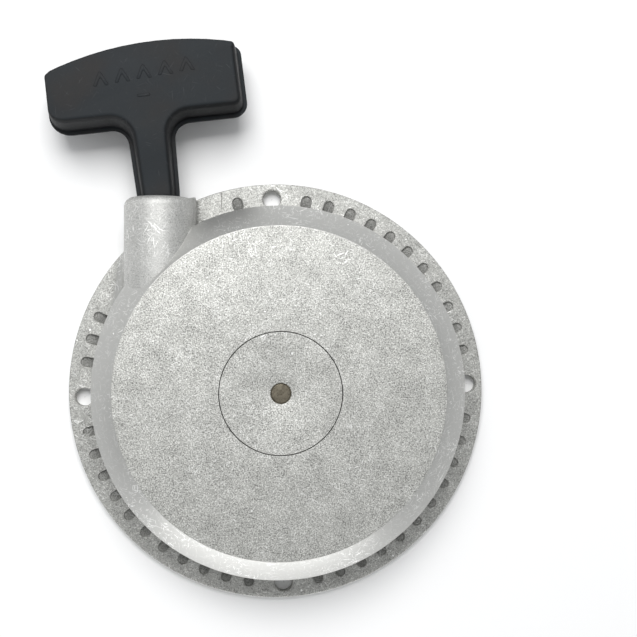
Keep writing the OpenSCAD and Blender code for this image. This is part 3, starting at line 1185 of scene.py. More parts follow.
@dataclass
class HousingCasting:
    """The cast housing: flange, vented wall, chamfer, scored face, boss and rope tube."""

    sizes: HousingSizes
    finishes: Finishes
    segments: int = 312
    slot_pitch: float = 360 / 52
    slots_a_quadrant: int = 11

    def shell(self) -> Piece:
        """The turned body with its boss.

        Returns:
            The solid.
        """
        s = self.sizes
        top_z = s.height - s.chamfer
        inner_r = s.wall_r - s.wall_t
        corners = [
            Corner(s.pin_r, s.boss_z),
            Corner(s.pin_r, s.height, 0.12 * MM),
            Corner(s.score_r - 0.2 * MM, s.height),
            Corner(s.score_r, s.height - 0.35 * MM),
            Corner(s.score_r + 0.2 * MM, s.height),
            Corner(s.face_r, s.height, 0.45 * MM),
            Corner(s.wall_top_r, top_z, 0.7 * MM),
            Corner(s.wall_r, s.flange_t, 0.9 * MM),
            Corner(s.flange_r, s.flange_t, 0.45 * MM),
            Corner(s.flange_r, 0.0, 0.3 * MM),
            Corner(inner_r, 0.0, 0.4 * MM),
            Corner(inner_r, s.flange_t),
            Corner(s.wall_top_r - s.wall_t, top_z - 1.4 * MM, 2.0 * MM),
            Corner(s.face_r - 1.4 * MM, s.height - s.wall_t, 2.0 * MM),
            Corner(s.boss_r, s.height - s.wall_t, 1.5 * MM),
            Corner(s.boss_r, s.boss_z, 0.3 * MM),
        ]
        return turned("housing_casting", outline(corners, 4), self.segments)

    def tube(self) -> Piece:
        """The tube's round outside with its rounded rim.

        Returns:
            The solid.
        """
        s = self.sizes
        inner_end = 40 * MM
        core_r = 0.2 * MM
        rim_round = 3.4 * MM
        corners = [
            Corner(core_r, inner_end),
            Corner(s.tube_r, inner_end),
            Corner(s.tube_r, s.mouth_y, rim_round),
            Corner(core_r, s.mouth_y),
        ]
        return turned("tube", outline(corners, 8)[::-1], 96, s.tube_frame())

    def saddle(self) -> Piece:
        """The casting under the tube, with a wide fillet on its left side.

        Returns:
            The solid.
        """
        s = self.sizes
        side = s.tube_r - 0.02 * MM
        foot = s.flange_t
        root = foot - 2 * MM
        small = 1.2 * MM
        spans = 12
        layers = []
        for k in range(spans + 1):
            t = k / spans
            y = (30 + 50 * t) * MM
            flare = (2.0 + 8.0 * (1 - t) ** 1.5) * MM
            right = arc_points(Vector((side + small, foot + small)), small, 270, 180, 4)
            over = arc_points(Vector((0, s.tube_z)), s.tube_r - 0.1 * MM, 4, 176, 24)
            left = arc_points(Vector((-side - flare, foot + flare)), flare, 0, -90, 12)
            loop = [Vector((side + small, root)), *right, *over, *left, Vector((-side - flare, root))]
            layers.append((y, loop))
        stand = Matrix(((1, 0, 0, s.tube_x), (0, 0, 1, 0), (0, 1, 0, 0), (0, 0, 0, 1)))
        made = prism("saddle", layers, stand)
        outer_r = s.flange_r / MM - 0.5
        rim = points_mm((30, -1), (outer_r, -1), (outer_r, 40), (30, 40))
        carve(made, turned("rim", rim, self.segments), Carving.KEEP)
        return made

    def foot_blend(self) -> Piece:
        """A fading fillet at the wall's foot beside the tube.

        Returns:
            The solid.
        """
        s = self.sizes
        points = []
        rings = 28
        spans = 8
        root_r = s.wall_r - 2.6 * MM
        root_z = s.flange_t - 1.5 * MM
        for i in range(rings + 1):
            t = i / rings
            angle = 122 + 33 * t
            size = (0.6 + 7.4 * math.cos(t * math.pi / 2) ** 2) * MM
            edge_r = min(s.wall_r + size, s.flange_r - 1.0 * MM)
            arc = arc_points(Vector((edge_r, s.flange_t + size)), 1.0, 180, 270, spans)
            loop = [Vector((root_r, root_z)), Vector((edge_r, root_z))]
            for p in reversed(arc):
                along = (p - Vector((edge_r, s.flange_t + size)))
                loop.append(Vector((
                    edge_r + along.x * (edge_r - s.wall_r + 0.1 * MM),
                    s.flange_t + size + along.y * size,
                )))
            loop.append(Vector((root_r, s.flange_t + size)))
            for p in loop:
                q = polar(p.x, angle)
                points.append(Vector((q.x, q.y, p.y)))
        around = len(points) // (rings + 1)
        return solid("foot_blend", points, skin_of_rings(rings + 1, around, False))

    def slot_angles(self) -> list[float]:
        """Where the vent slots are. The quarter with the rope tube has fewer.

        Returns:
            The angles in degrees.
        """
        angles = []
        for quadrant in range(4):
            for i in range(self.slots_a_quadrant):
                if quadrant != 1 or i == 0 or i > 7:
                    angles.append(self.sizes.hole_turn + 90 * quadrant + (i + 1.5) * self.slot_pitch)
        return angles

    def slot_outline(self, wider: float, inner_r: float) -> list[Vector]:
        """A slot's outline along +X.

        Args:
            wider: How much it grows on each side.
            inner_r: The radius where it starts.

        Returns:
            The outline.
        """
        s = self.sizes
        half = s.slot_w / 2 + wider
        tip = Vector((s.slot_reach - s.slot_w / 2, 0))
        return [Vector((inner_r, half)), Vector((inner_r, -half)), *arc_points(tip, half, -90, 90, 10)]

    def cut_slots(self, body: Piece) -> None:
        """Cuts the vent slots and rounds their upper edges.

        Args:
            body: The casting.
        """
        s = self.sizes
        windows = []
        rims = []
        rim_r = s.wall_r + 0.9 * MM
        for angle in self.slot_angles():
            place = about_z(angle)
            loop = self.slot_outline(0, s.wall_r - s.wall_t - 3 * MM)
            windows.append(prism("window", [(0, loop), (s.slot_h, loop)], place))
            layers = [
                (s.flange_t - 0.42 * MM, self.slot_outline(0.02 * MM, rim_r)),
                (s.flange_t - 0.14 * MM, self.slot_outline(0.12 * MM, rim_r)),
                (s.flange_t + 0.05 * MM, self.slot_outline(0.45 * MM, rim_r)),
            ]
            rims.append(prism("rim", layers, place))
        inner_r = s.wall_r - s.wall_t - 4 * MM
        outer_r = s.slot_reach + 1 * MM
        top_z = s.slot_h + 1 * MM
        ramp = [Vector(p) for p in (
            (inner_r, s.sill_z), (s.wall_r - 1 * MM, s.sill_z), (outer_r, s.flange_t - s.slot_lip),
            (outer_r, top_z), (inner_r, top_z),
        )]
        scoops = gather(*windows)
        carve(scoops, turned("ramp", ramp, self.segments), Carving.KEEP)
        carve(body, scoops, Carving.CUT)
        carve(body, gather(*rims), Carving.CUT)

    def cut_holes(self, body: Piece) -> None:
        """Cuts the mounting holes, their chamfers and the spot faces for the bolt heads.

        Args:
            body: The casting.
        """
        s = self.sizes
        spot_z = s.flange_t + 0.03 * MM
        top_z = 12 * MM
        loop = [Vector(p) for p in (
            (NEAR_AXIS, -1 * MM), (s.hole_r, -1 * MM), (s.hole_r, s.flange_t - 0.45 * MM),
            (s.hole_r + 0.15 * MM, s.flange_t - 0.16 * MM), (s.hole_r + 0.5 * MM, spot_z),
            (s.bolt_face_r, spot_z), (s.bolt_face_r, top_z - 0.4 * MM), (s.bolt_face_r - 0.4 * MM, top_z),
            (NEAR_AXIS, top_z),
        )]
        tools = []
        for i in range(4):
            place = about_z(s.hole_turn + 90 * i) @ Matrix.Translation((s.hole_circle_r, 0, 0))
            tools.append(turned("drill", loop, 48, place))
        carve(body, gather(*tools), Carving.CUT)

    def cut_mouth(self, body: Piece) -> None:
        """Bores the tube: the mouth with its rounded edge, and the seat of the rope guide bush.

        Args:
            body: The casting.
        """
        s = self.sizes
        seat_y = s.mouth_y - s.bush_depth
        rounding = 1.0 * MM
        edge_r = s.mouth_r + rounding
        bore_r = 7 * MM
        inner_end = 40 * MM
        outer_end = s.mouth_y + 2 * MM
        loop = [Vector(p) for p in (
            (NEAR_AXIS, inner_end), (bore_r, inner_end), (bore_r, seat_y), (s.mouth_r, seat_y),
        )]
        loop += arc_points(Vector((edge_r, s.mouth_y - rounding)), rounding, 180, 90, 6)
        loop += [Vector((edge_r, outer_end)), Vector((NEAR_AXIS, outer_end))]
        carve(body, turned("bore", loop, 96, s.tube_frame()), Carving.CUT)

    def cut_lines(self, body: Piece) -> None:
        """Cuts the two fine mould lines beside the tube, and the spring's slot in the boss.

        Args:
            body: The casting.
        """
        s = self.sizes
        groove = points_mm((-0.13, 0.05), (0, -0.22), (0.13, 0.05))
        lines = (((-22.6, 72.0), (-22.6, 81.0)), ((-69.5, 47.6), (-61.2, 45.4)))
        tools = []
        for start, stop in lines:
            run = Vector(stop) - Vector(start)
            turn = math.atan2(run.y, run.x) - math.pi / 2
            foot = Matrix.Translation((start[0] * MM, start[1] * MM, s.flange_t))
            upright = Matrix(((1, 0, 0, 0), (0, 0, 1, 0), (0, 1, 0, 0), (0, 0, 0, 1)))
            stand = foot @ Matrix.Rotation(turn, 4, "Z") @ upright
            tools.append(prism("line", [(0.0, groove), (run.length * MM, groove)], stand))
        carve(body, gather(*tools), Carving.CUT)
        gap = points_mm((8, -0.9), (16, -0.9), (16, 0.9), (8, 0.9))
        slot = prism("gap", [(s.boss_z - 1 * MM, gap), (s.height - s.wall_t, gap)], about_z(215))
        carve(body, slot, Carving.CUT)

    def build(self) -> Piece:
        """Builds the casting and puts it in place of its CAD node.

        Returns:
            The finished piece.
        """
        s = self.sizes
        body = self.shell()
        addition = self.tube()
        carve(addition, self.saddle(), Carving.JOIN)
        carve(addition, self.foot_blend(), Carving.JOIN)
        inner_r = s.wall_r - s.wall_t + 0.6 * MM
        top_z = s.height - s.chamfer
        ceiling_z = s.height - s.wall_t + 0.5 * MM
        room = [Vector(p) for p in (
            (NEAR_AXIS, -1 * MM), (inner_r, -1 * MM), (inner_r, s.flange_t),
            (s.wall_top_r - s.wall_t + 0.6 * MM, top_z - 1.2 * MM),
            (s.face_r - 1.2 * MM, ceiling_z), (NEAR_AXIS, ceiling_z),
        )]
        carve(addition, turned("room", room, self.segments), Carving.CUT)
        carve(body, addition, Carving.JOIN)
        self.cut_mouth(body)
        self.cut_slots(body)
        self.cut_holes(body)
        self.cut_lines(body)
        soften(body, 28)
        return install(body, self.finishes, "cast_aluminium", "housing", "housing")


# ---------------------------------------------------------------------------
# Handle
# ---------------------------------------------------------------------------


@dataclass
class PullHandle:
    """The moulded T-handle: crossbar, stem, parting ledge and a row of raised chevrons."""

    finishes: Finishes
    place: Matrix = field(default_factory=lambda: (
        Matrix.Translation(Vector((-46.7, 75.7, 17.2)) * MM)
        @ Matrix.Rotation(math.radians(7.0), 4, "Z")
        @ Matrix.Rotation(math.radians(-5.5), 4, "X")
    ))
    half_t: float = 10.75 * MM
    ledge: float = 1.5 * MM
    left_end_share: float = 0.36
    bar_low: float = 27.8 * MM
    arch_r: float = 125 * MM
    arch_x: float = 7 * MM
    arch_top: float = 60 * MM
    arch_start: float = 75.4
    arch_stop: float = 111.3
    mark_count: int = 5
    first_mark: tuple = (-16.4, 45.9)
    mark_pitch: tuple = (8.3, 0.6)
    bar_mark: tuple = (-0.8, 37.5)

    def outline(self) -> list[Vector]:
        """The handle's outline at its parting plane, anticlockwise.

        Returns:
            The outline.
        """
        centre = Vector((self.arch_x, self.arch_top - self.arch_r))
        arch = arc_points(centre, self.arch_r, self.arch_start, self.arch_stop, 12)
        right = arch[0]
        left = arch[-1]
        corners = corners_mm((-7.6, -5), (7.6, -5), (8.3, 1))
        corners.append(Corner(9.2 * MM, self.bar_low, 6.5 * MM))
        corners.append(Corner(38.5 * MM, self.bar_low, 5.5 * MM))
        corners.append(Corner(right.x, right.y, 5.2 * MM))
        corners += [Corner(p.x, p.y) for p in arch[1:-1]]
        corners.append(Corner(left.x, left.y, 4.0 * MM))
        corners.append(Corner(-38.4 * MM, self.bar_low, 8.0 * MM))
        corners.append(Corner(-9.2 * MM, self.bar_low, 6.5 * MM))
        corners.append(Corner(-8.3 * MM, 1 * MM))
        return outline(corners, 8)

    def drawn_in(self, loop: list[Vector], depth: float, top_depth: float) -> list[Vector]:
        """The outline moved inward, by another depth where it faces up.

        Args:
            loop: The outline, anticlockwise.
            depth: How far the underside, the ends and the stem's sides move in.
            top_depth: How far the arched top edge moves in.

        Returns:
            The moved outline, point for point.
        """
        moved = []
        for at, unit in zip(loop, inset(loop, 1.0 * MM)):
            inward = unit - at
            top_share = min(1.0, max(0.0, -inward.y / MM)) ** 2
            end_share = min(1.0, max(0.0, inward.x / MM)) ** 2 if at.x < -self.bar_low else 0.0
            amount = depth + (top_depth - depth) * top_share
            amount += (self.left_end_share * depth - amount) * end_share
            moved.append(at + inward * (amount / MM))
        return moved

    def front_half(self) -> Piece:
        """The front half: a little smaller than the back, with soft edges round a flat face.

        Returns:
            The half.
        """
        loop = self.outline()
        wall_h = 8.2 * MM
        layers = [(0.0, self.drawn_in(loop, self.ledge, 0.2 * MM))]
        layers.append((0.5 * MM, self.drawn_in(loop, self.ledge + 0.02 * MM, 0.25 * MM)))
        wall = self.ledge + 0.9 * MM
        top_wall = 1.2 * MM
        for k in range(7):
            a = math.pi / 2 * k / 6
            height = wall_h + (self.half_t - wall_h) * math.sin(a)
            give = 1 - math.cos(a)
            layers.append((height, self.drawn_in(loop, wall + 2.1 * MM * give, top_wall + 0.8 * MM * give)))
        return prism("handle_moulding", layers)

    def back_half(self) -> Piece:
        """The back half, drawn in all round towards its face.

        Returns:
            The half.
        """
        loop = self.outline()
        layers = []
        profile = (
            (0.0, 0.0), (1.2, 0.25), (3.0, 0.6), (5.0, 1.15),
            (7.0, 1.9), (8.6, 2.9), (9.8, 4.1), (10.5, 5.4),
        )
        for depth, drawn in profile:
            layers.append((-depth * MM, inset(loop, drawn * MM)))
        return prism("back", layers)

    def chevrons(self) -> Piece:
        """Five raised chevrons that point the way the handle is pulled, and a short raised bar below them.

        Returns:
            The raised marks as one mesh.
        """
        marks = []
        base = self.half_t - 0.3 * MM
        loop = outline(corners_mm(
            (-3.0, -3.0, 0.3), (-1.7, -3.0, 0.3), (0, 0.6, 0.4),
            (1.7, -3.0, 0.3), (3.0, -3.0, 0.3), (0, 3.0, 0.5),
        ), 3)
        bar = outline(corners_mm((-2.4, -0.5, 0.4), (2.4, -0.5, 0.4), (2.4, 0.5, 0.4), (-2.4, 0.5, 0.4)), 3)
        spots = []
        for k in range(self.mark_count):
            x, y = (start + step * k for start, step in zip(self.first_mark, self.mark_pitch))
            spots.append((x, y, loop))
        spots.append((*self.bar_mark, bar))
        for x, y, shape in spots:
            spot = Matrix.Translation((x * MM, y * MM, base))
            layers = [
                (0.0, inset(shape, -0.12 * MM)),
                (0.36 * MM, inset(shape, -0.08 * MM)),
                (0.5 * MM, inset(shape, 0.1 * MM)),
            ]
            marks.append(prism("mark", layers, spot))
        return gather(*marks)

    def thin_stem(self, half: Piece) -> None:
        """Thins the stem towards its foot, with a smooth run out into the crossbar.

        Args:
            half: The joined halves.
        """
        foot_share = 0.76
        run_out = 26 * MM
        shape = bmesh.new()
        shape.from_mesh(half.data)
        for k in range(9):
            cut = (-3 + 4 * k) * MM
            bmesh.ops.bisect_plane(
                shape, geom=[*shape.verts, *shape.edges, *shape.faces],
                plane_co=(0, cut, 0), plane_no=(0, 1, 0), dist=1e-6,
            )
        for vert in shape.verts:
            t = min(max(vert.co.y / run_out, 0.0), 1.0)
            vert.co.z *= foot_share + (1 - foot_share) * t * t * (3 - 2 * t)
        shape.to_mesh(half.data)
        shape.free()

    def drill(self, radius: float, start: float, stop: float, segments: int) -> Piece:
        """A drill along the stem, in millimetres.

        Args:
            radius: Its radius.
            start: Where it starts along the stem.
            stop: Where it ends.
            segments: Steps round it.

        Returns:
            The tool.
        """
        core_r = NEAR_AXIS / MM
        loop = points_mm((core_r, start), (radius, start), (radius, stop), (core_r, stop))
        return turned("drill", loop, segments, ALONG_Y)

    def build(self) -> Piece:
        """Builds the handle and puts it in place of its CAD node.

        Returns:
            The finished piece.
        """
        front = self.front_half()
        carve(front, self.back_half(), Carving.JOIN)
        self.thin_stem(front)
        carve(front, self.drill(6.6, 47, 66, 64), Carving.CUT)
        carve(front, self.drill(2.6, -8, 48, 32), Carving.CUT)
        gather(front, self.chevrons())
        front.data.transform(self.place)
        soften(front, 38)
        return install(front, self.finishes, "grip_rubber", "handle", "handle_grip")


# ---------------------------------------------------------------------------
# Centre pin and its stack, and the rope guide bush
# ---------------------------------------------------------------------------


@dataclass
class CentreStack:
    """The centre pin and what the centre bolt clamps on its lower end. Sizes are in millimetres."""

    finishes: Finishes
    pin_r: float = 4.0
    face_z: float = 31.98
    rim_z: float = 31.4
    journal_r: float = 6.0
    journal_top: float = 19.9
    journal_low: float = 8.8
    nose_r: float = 4.5
    nose_low: float = 5.4
    thread_r: float = 3.0
    root_r: float = 2.6
    thread_pitch: float = 1.0
    head_top: float = 3.2
    head_half: float = 5.0

    def pin(self) -> Piece:
        """The stepped centre pin, flush with the housing's face.

        Returns:
            The piece.
        """
        piece = lathe(
            "centre_pin_turned", (0, self.face_z), (3.5, self.face_z, 0.2), (3.65, self.rim_z),
            (self.pin_r, self.rim_z, 0.1), (self.pin_r, self.journal_top),
            (self.journal_r, self.journal_top, 0.3), (self.journal_r, self.journal_low, 0.2),
            (self.nose_r, self.journal_low), (self.nose_r, self.nose_low, 0.2),
            (self.thread_r, self.nose_low, 0.2), (self.thread_r, 20), (0, 20),
        )
        soften(piece)
        return install(piece, self.finishes, "pin_steel", "housing", "centre_pin")

    def washer(self, node: str, slot: str, inner_r: float, body: str = "housing") -> Piece:
        """A flat washer as large as its CAD node.

        Args:
            node: The CAD node.
            slot: The record's material slot.
            inner_r: The hole's radius in millimetres.
            body: The body that it moves with.

        Returns:
            The piece.
        """
        low, high = (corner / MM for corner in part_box(node))
        edge = min(0.15, (high.z - low.z) / 3)
        piece = lathe(
            node + "_turned", (inner_r, low.z, edge), (high.x, low.z, edge), (high.x, high.z, edge),
            (inner_r, high.z, edge), segments=128,
        )
        soften(piece)
        return install(piece, self.finishes, slot, body, node)

    def cone_spring(self) -> Piece:
        """The conical disc spring.

        Returns:
            The piece.
        """
        low, high = (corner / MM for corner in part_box("disc_spring"))
        hole_r = self.nose_r + 0.3
        thick = 0.4
        piece = lathe(
            "disc_spring_turned", (hole_r, high.z - thick, 0.1), (high.x, low.z, 0.1),
            (high.x, low.z + thick, 0.1), (hole_r, high.z, 0.1), segments=128,
        )
        soften(piece)
        return install(piece, self.finishes, "spring_steel", "housing", "disc_spring")

    def split_washer(self) -> Piece:
        """The split lock washer with its slanted gap.

        Returns:
            The piece.
        """
        low, high = (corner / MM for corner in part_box("lock_washer"))
        hole_r = self.thread_r + 0.2
        piece = lathe(
            "lock_washer_turned", (hole_r, low.z, 0.15), (high.y, low.z, 0.15), (high.y, high.z, 0.15),
            (hole_r, high.z, 0.15), segments=128,
        )
        slit = points_mm((0, -0.5), (8, -0.5), (8, 0.5), (0, 0.5))
        leaning = [p + Vector((0, 0.5 * MM)) for p in slit]
        layers = [((low.z - 0.1) * MM, slit), ((high.z + 0.1) * MM, leaning)]
        carve(piece, prism("slit", layers, about_z(40)), Carving.CUT)
        soften(piece)
        return install(piece, self.finishes, "spring_steel", "housing", "lock_washer")

    def bolt(self) -> Piece:
        """The hexagon bolt, its head chamfered underneath and its thread's crests round the shank.

        Returns:
            The piece.
        """
        low, high = (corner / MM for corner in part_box("centre_bolt"))
        top = self.head_top
        across_r = self.head_half / math.cos(math.pi / 6)
        hexagon = [polar(across_r * MM, 60 * k) for k in range(6)]
        piece = prism("centre_bolt_turned", [(low.z * MM, hexagon), (top * MM, hexagon)])
        outer_r = across_r + 0.2
        crown = lathe("crown", (0, low.z), (4.7, low.z), (outer_r, low.z + 0.75), (outer_r, top), (0, top))
        carve(piece, crown, Carving.KEEP)
        bevel_edges(piece, 0.12 * MM, 2, 25)
        shank = [(0, top - 0.5), (self.root_r, top - 0.5)]
        crest = self.thread_r - 0.03
        level = top + 0.4
        while level < high.z - 1.2:
            shank += [(self.root_r, level), (crest, level + 0.4)]
            shank += [(crest, level + 0.5), (self.root_r, level + 0.9)]
            level += self.thread_pitch
        shank += [(self.root_r - 0.3, high.z), (0, high.z)]
        gather(piece, turned("shank", points_mm(*shank), 48))
        soften(piece)
        return install(piece, self.finishes, "zinc_steel", "housing", "centre_bolt")

    def build(self) -> list[Piece]:
        """Builds the stack.

        Returns:
            Its pieces.
        """
        return [
            self.pin(),
            self.washer("thrust_washer", "bronze", self.nose_r + 0.05),
            self.washer("retaining_washer", "zinc_steel", self.thread_r + 0.2),
            self.washer("reel_bush", "bronze", 6.03, "reel"),
            self.cone_spring(),
            self.split_washer(),
            self.bolt(),
        ]


@dataclass
class RopeGuide:
    """The flanged bush in the tube's mouth, with its flared bore."""

    sizes: HousingSizes
    finishes: Finishes

    def build(self) -> Piece:
        """Builds the bush.

        Returns:
            The piece.
        """
        s = self.sizes
        low, high = (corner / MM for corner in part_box("rope_guide_bush"))
        bore_r = 2.7
        flare = 2.2
        body_r = 7.0
        seat = (s.mouth_y - s.bush_depth) / MM
        rim_r = high.x - s.tube_x / MM
        mid_r = bore_r + flare
        loop = outline(corners_mm(
            (mid_r, low.y), (body_r, low.y, 0.4), (body_r, seat), (rim_r, seat), (rim_r, high.y, 0.5),
            (mid_r, high.y),
        ), 4)
        bell = arc_points(Vector((mid_r, high.y - flare)), flare, 90, 180, 8)
        bell += arc_points(Vector((mid_r, low.y + flare)), flare, 180, 270, 8)
        piece = turned("rope_guide_turned", loop + points_mm(*bell), 96, s.tube_frame())
        soften(piece)
        return install(piece, self.finishes, "bush_plastic", "housing", "rope_guide_bush")


# ---------------------------------------------------------------------------
# Reel, rope and recoil spring
# ---------------------------------------------------------------------------


@dataclass(frozen=True)
class RopeRoute:
    """The rope's route in millimetres: a coil on the reel, a dip to its knot, a lead through the tube."""

    radius: float = 2.0
    pitch: float = 4.2
    outer_r: float = 50.18
    turns: float = 2.9
    lead_start: float = 176.4
    level: float = 17.2
    knot_polar: tuple = (26.6, 27.0, 14.0)
    mouth_polar: tuple = (38.0, 2.0, 17.2)
    tail: tuple = ((0.86, 16.5), (0.6, 16.1), (0.3, 15.1), (0.12, 14.4))
    lead: tuple = ((-49, 20, 17.2), (-48, 35, 17.2), (-47, 48, 17.2), (-46.3, 58, 17.2), (-46.2, 67, 17.3))
    in_handle: tuple = (-3.0, 8.0, 20.0, 34.0, 48.5)

    def coil_end(self) -> float:
        """The angle where the coil ends, in degrees."""
        return self.lead_start + 360 * self.turns

    def coil_point(self, turn: float) -> Vector:
        """A point of the coil, in metres.

        Args:
            turn: Turns from the lead's side.

        Returns:
            The point.
        """
        at = polar(self.outer_r - self.pitch * turn, self.lead_start + 360 * turn)
        return Vector((at.x, at.y, self.level)) * MM

    def after_coil(self, spot: tuple[float, float, float]) -> Vector:
        """A point given by its place past the coil's end.

        Args:
            spot: Radius, angle past the coil's end in degrees, and height.

        Returns:
            The point in metres.
        """
        at = polar(spot[0], self.coil_end() + spot[1])
        return Vector((at.x, at.y, spot[2])) * MM

    def tail_points(self) -> list[Vector]:
        """The tail's points along its straight way to the knot.

        Returns:
            The points in metres.
        """
        end = self.after_coil(self.knot_polar)
        run = self.after_coil(self.mouth_polar) - end
        points = []
        for share, level in self.tail:
            points.append(Vector((end.x + share * run.x, end.y + share * run.y, level * MM)))
        return points


def flowing(points: list[Vector], step: float) -> list[Vector]:
    """A smooth curve through points, with evenly spaced points of its own.

    Args:
        points: The points that it passes.
        step: The spacing.

    Returns:
        The curve's points.
    """
    ends = [2 * points[0] - points[1], *points, 2 * points[-1] - points[-2]]
    curve = []
    for i in range(1, len(ends) - 2):
        a, b, c, d = ends[i - 1:i + 3]
        count = max(1, round((c - b).length / step))
        for k in range(count):
            t = k / count
            curve.append(0.5 * (
                2 * b + (c - a) * t + (2 * a - 5 * b + 4 * c - d) * t * t + (3 * b - a - 3 * c + d) * t ** 3
            ))
    curve.append(points[-1].copy())
    return curve


def braided(name: str, path: list[Vector], radius: float, relief: float = 0.09) -> Piece:
    """A braided cord: eight strands each way that cross over and under one another.

    Args:
        name: The object's name.
        path: The centre line's points, close together.
        radius: The cord's radius.
        relief: How far the hollows between strands go in, as a share of the radius.

    Returns:
        The cord.
    """
    sides = 32
    strands = 8
    points = []
    wrap = []
    run = 0.0
    side = (path[1] - path[0]).orthogonal().normalized()
    for i, at in enumerate(path):
        along = (path[min(i + 1, len(path) - 1)] - path[max(i - 1, 0)]).normalized()
        side = (side - along * side.dot(along)).normalized()
        up = along.cross(side)
        if i:
            run += (at - path[i - 1]).length
        for k in range(sides):
            a = math.tau * k / sides
            twist = math.tau * run / BraidedCord.lay
            crown = max(math.cos(strands * (a - twist)), math.cos(strands * (a + twist)))
            reach = radius * (1 - relief + relief * crown)
            points.append(at + reach * (side * math.cos(a) + up * math.sin(a)))
            wrap.append((k / sides, run / BraidedCord.lay))
    piece = solid(name, points, skin_of_rings(len(path), sides, False), wrap)
    soften(piece, 60)
    return piece


def knot(name: str, middle: Vector, axis: Vector, radius: float, cord_r: float) -> Piece:
    """An overhand knot pulled tight.

    Args:
        name: The object's name.
        middle: The knot's middle.
        axis: The way the cord goes through it.
        radius: The knot's outer radius.
        cord_r: The cord's radius.

    Returns:
        The knot.
    """
    size = (radius - cord_r) / 3
    turn = Vector((0, 0, 1)).rotation_difference(axis).to_matrix()
    path = []
    steps = 150
    for k in range(steps):
        t = math.tau * k / steps
        x = math.sin(t) + 2 * math.sin(2 * t)
        y = math.cos(t) - 2 * math.cos(2 * t)
        path.append(middle + turn @ (size * Vector((x, y, -1.6 * math.sin(3 * t)))))
    path.append(path[0].copy())
    return braided(name, path, cord_r)


@dataclass
class Rope:
    """The starter rope and its two knots."""

    finishes: Finishes
    handle_place: Matrix
    route: RopeRoute = RopeRoute()
    fine: float = 0.55 * MM
    mean_r: float = 44 * MM
    reel_knot_r: float = 4.35 * MM
    handle_knot_r: float = 4.75 * MM

    def coil(self) -> Piece:
        """The coil on the reel with its tail.

        Returns:
            The piece.
        """
        r = self.route
        steps = round(2 * math.pi * self.mean_r * r.turns / self.fine)
        path = [r.coil_point(r.turns * k / steps) for k in range(steps + 1)]
        path += flowing([path[-1], *r.tail_points()], self.fine)[1:]
        piece = braided("starter_rope_coil", path, r.radius * MM)
        return install(piece, self.finishes, "rope_nylon", "reel", "rope_coil")

    def lead(self) -> Piece:
        """The lead through the guide bush into the handle.

        Returns:
            The piece.
        """
        r = self.route
        start = r.coil_point(0)
        outside = points_mm(*r.lead)
        start += (outside[0] - start).normalized() * 0.25 * MM
        inside = [self.handle_place @ Vector((0, y * MM, 0)) for y in r.in_handle]
        path = flowing([start, *outside, *inside], 0.3 * MM)
        piece = braided("starter_rope_lead", path, r.radius * MM, 0.02)
        self.finishes.dress(piece, "rope_nylon", "rope_nylon_lead")
        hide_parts("rope_lead")
        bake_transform(piece)
        return piece

    def knots(self) -> list[Piece]:
        """The knot in the reel and the knot in the handle.

        Returns:
            Both knots.
        """
        r = self.route
        cord_r = r.radius * MM
        spot = r.after_coil(r.knot_polar)
        inner = knot("reel_knot_tied", spot, Vector((0, 0, 1)), self.reel_knot_r, cord_r)
        low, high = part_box("handle_knot")
        axis = (self.handle_place.to_3x3() @ Vector((0, 1, 0))).normalized()
        outer = knot("handle_knot_tied", (low + high) / 2, axis, self.handle_knot_r, cord_r)
        install(inner, self.finishes, "rope_nylon", "reel", "reel_knot")
        install(outer, self.finishes, "rope_nylon", "handle", "handle_knot")
        return [inner, outer]

    def anchor(self) -> Piece:
        """The steel washer under the handle's knot.

        Returns:
            The piece.
        """
        piece = lathe(
            "anchor_washer_turned", (2.4, 47.0, 0.2), (6.3, 47.0, 0.2), (6.3, 48.5, 0.3), (2.4, 48.5, 0.3),
            segments=72, place=self.handle_place @ ALONG_Y,
        )
        soften(piece)
        return install(piece, self.finishes, "zinc_steel", "handle", "anchor_washer")

    def build(self) -> list[Piece]:
        """Builds the rope.

        Returns:
            Its pieces.
        """
        return [self.coil(), self.lead(), *self.knots(), self.anchor()]


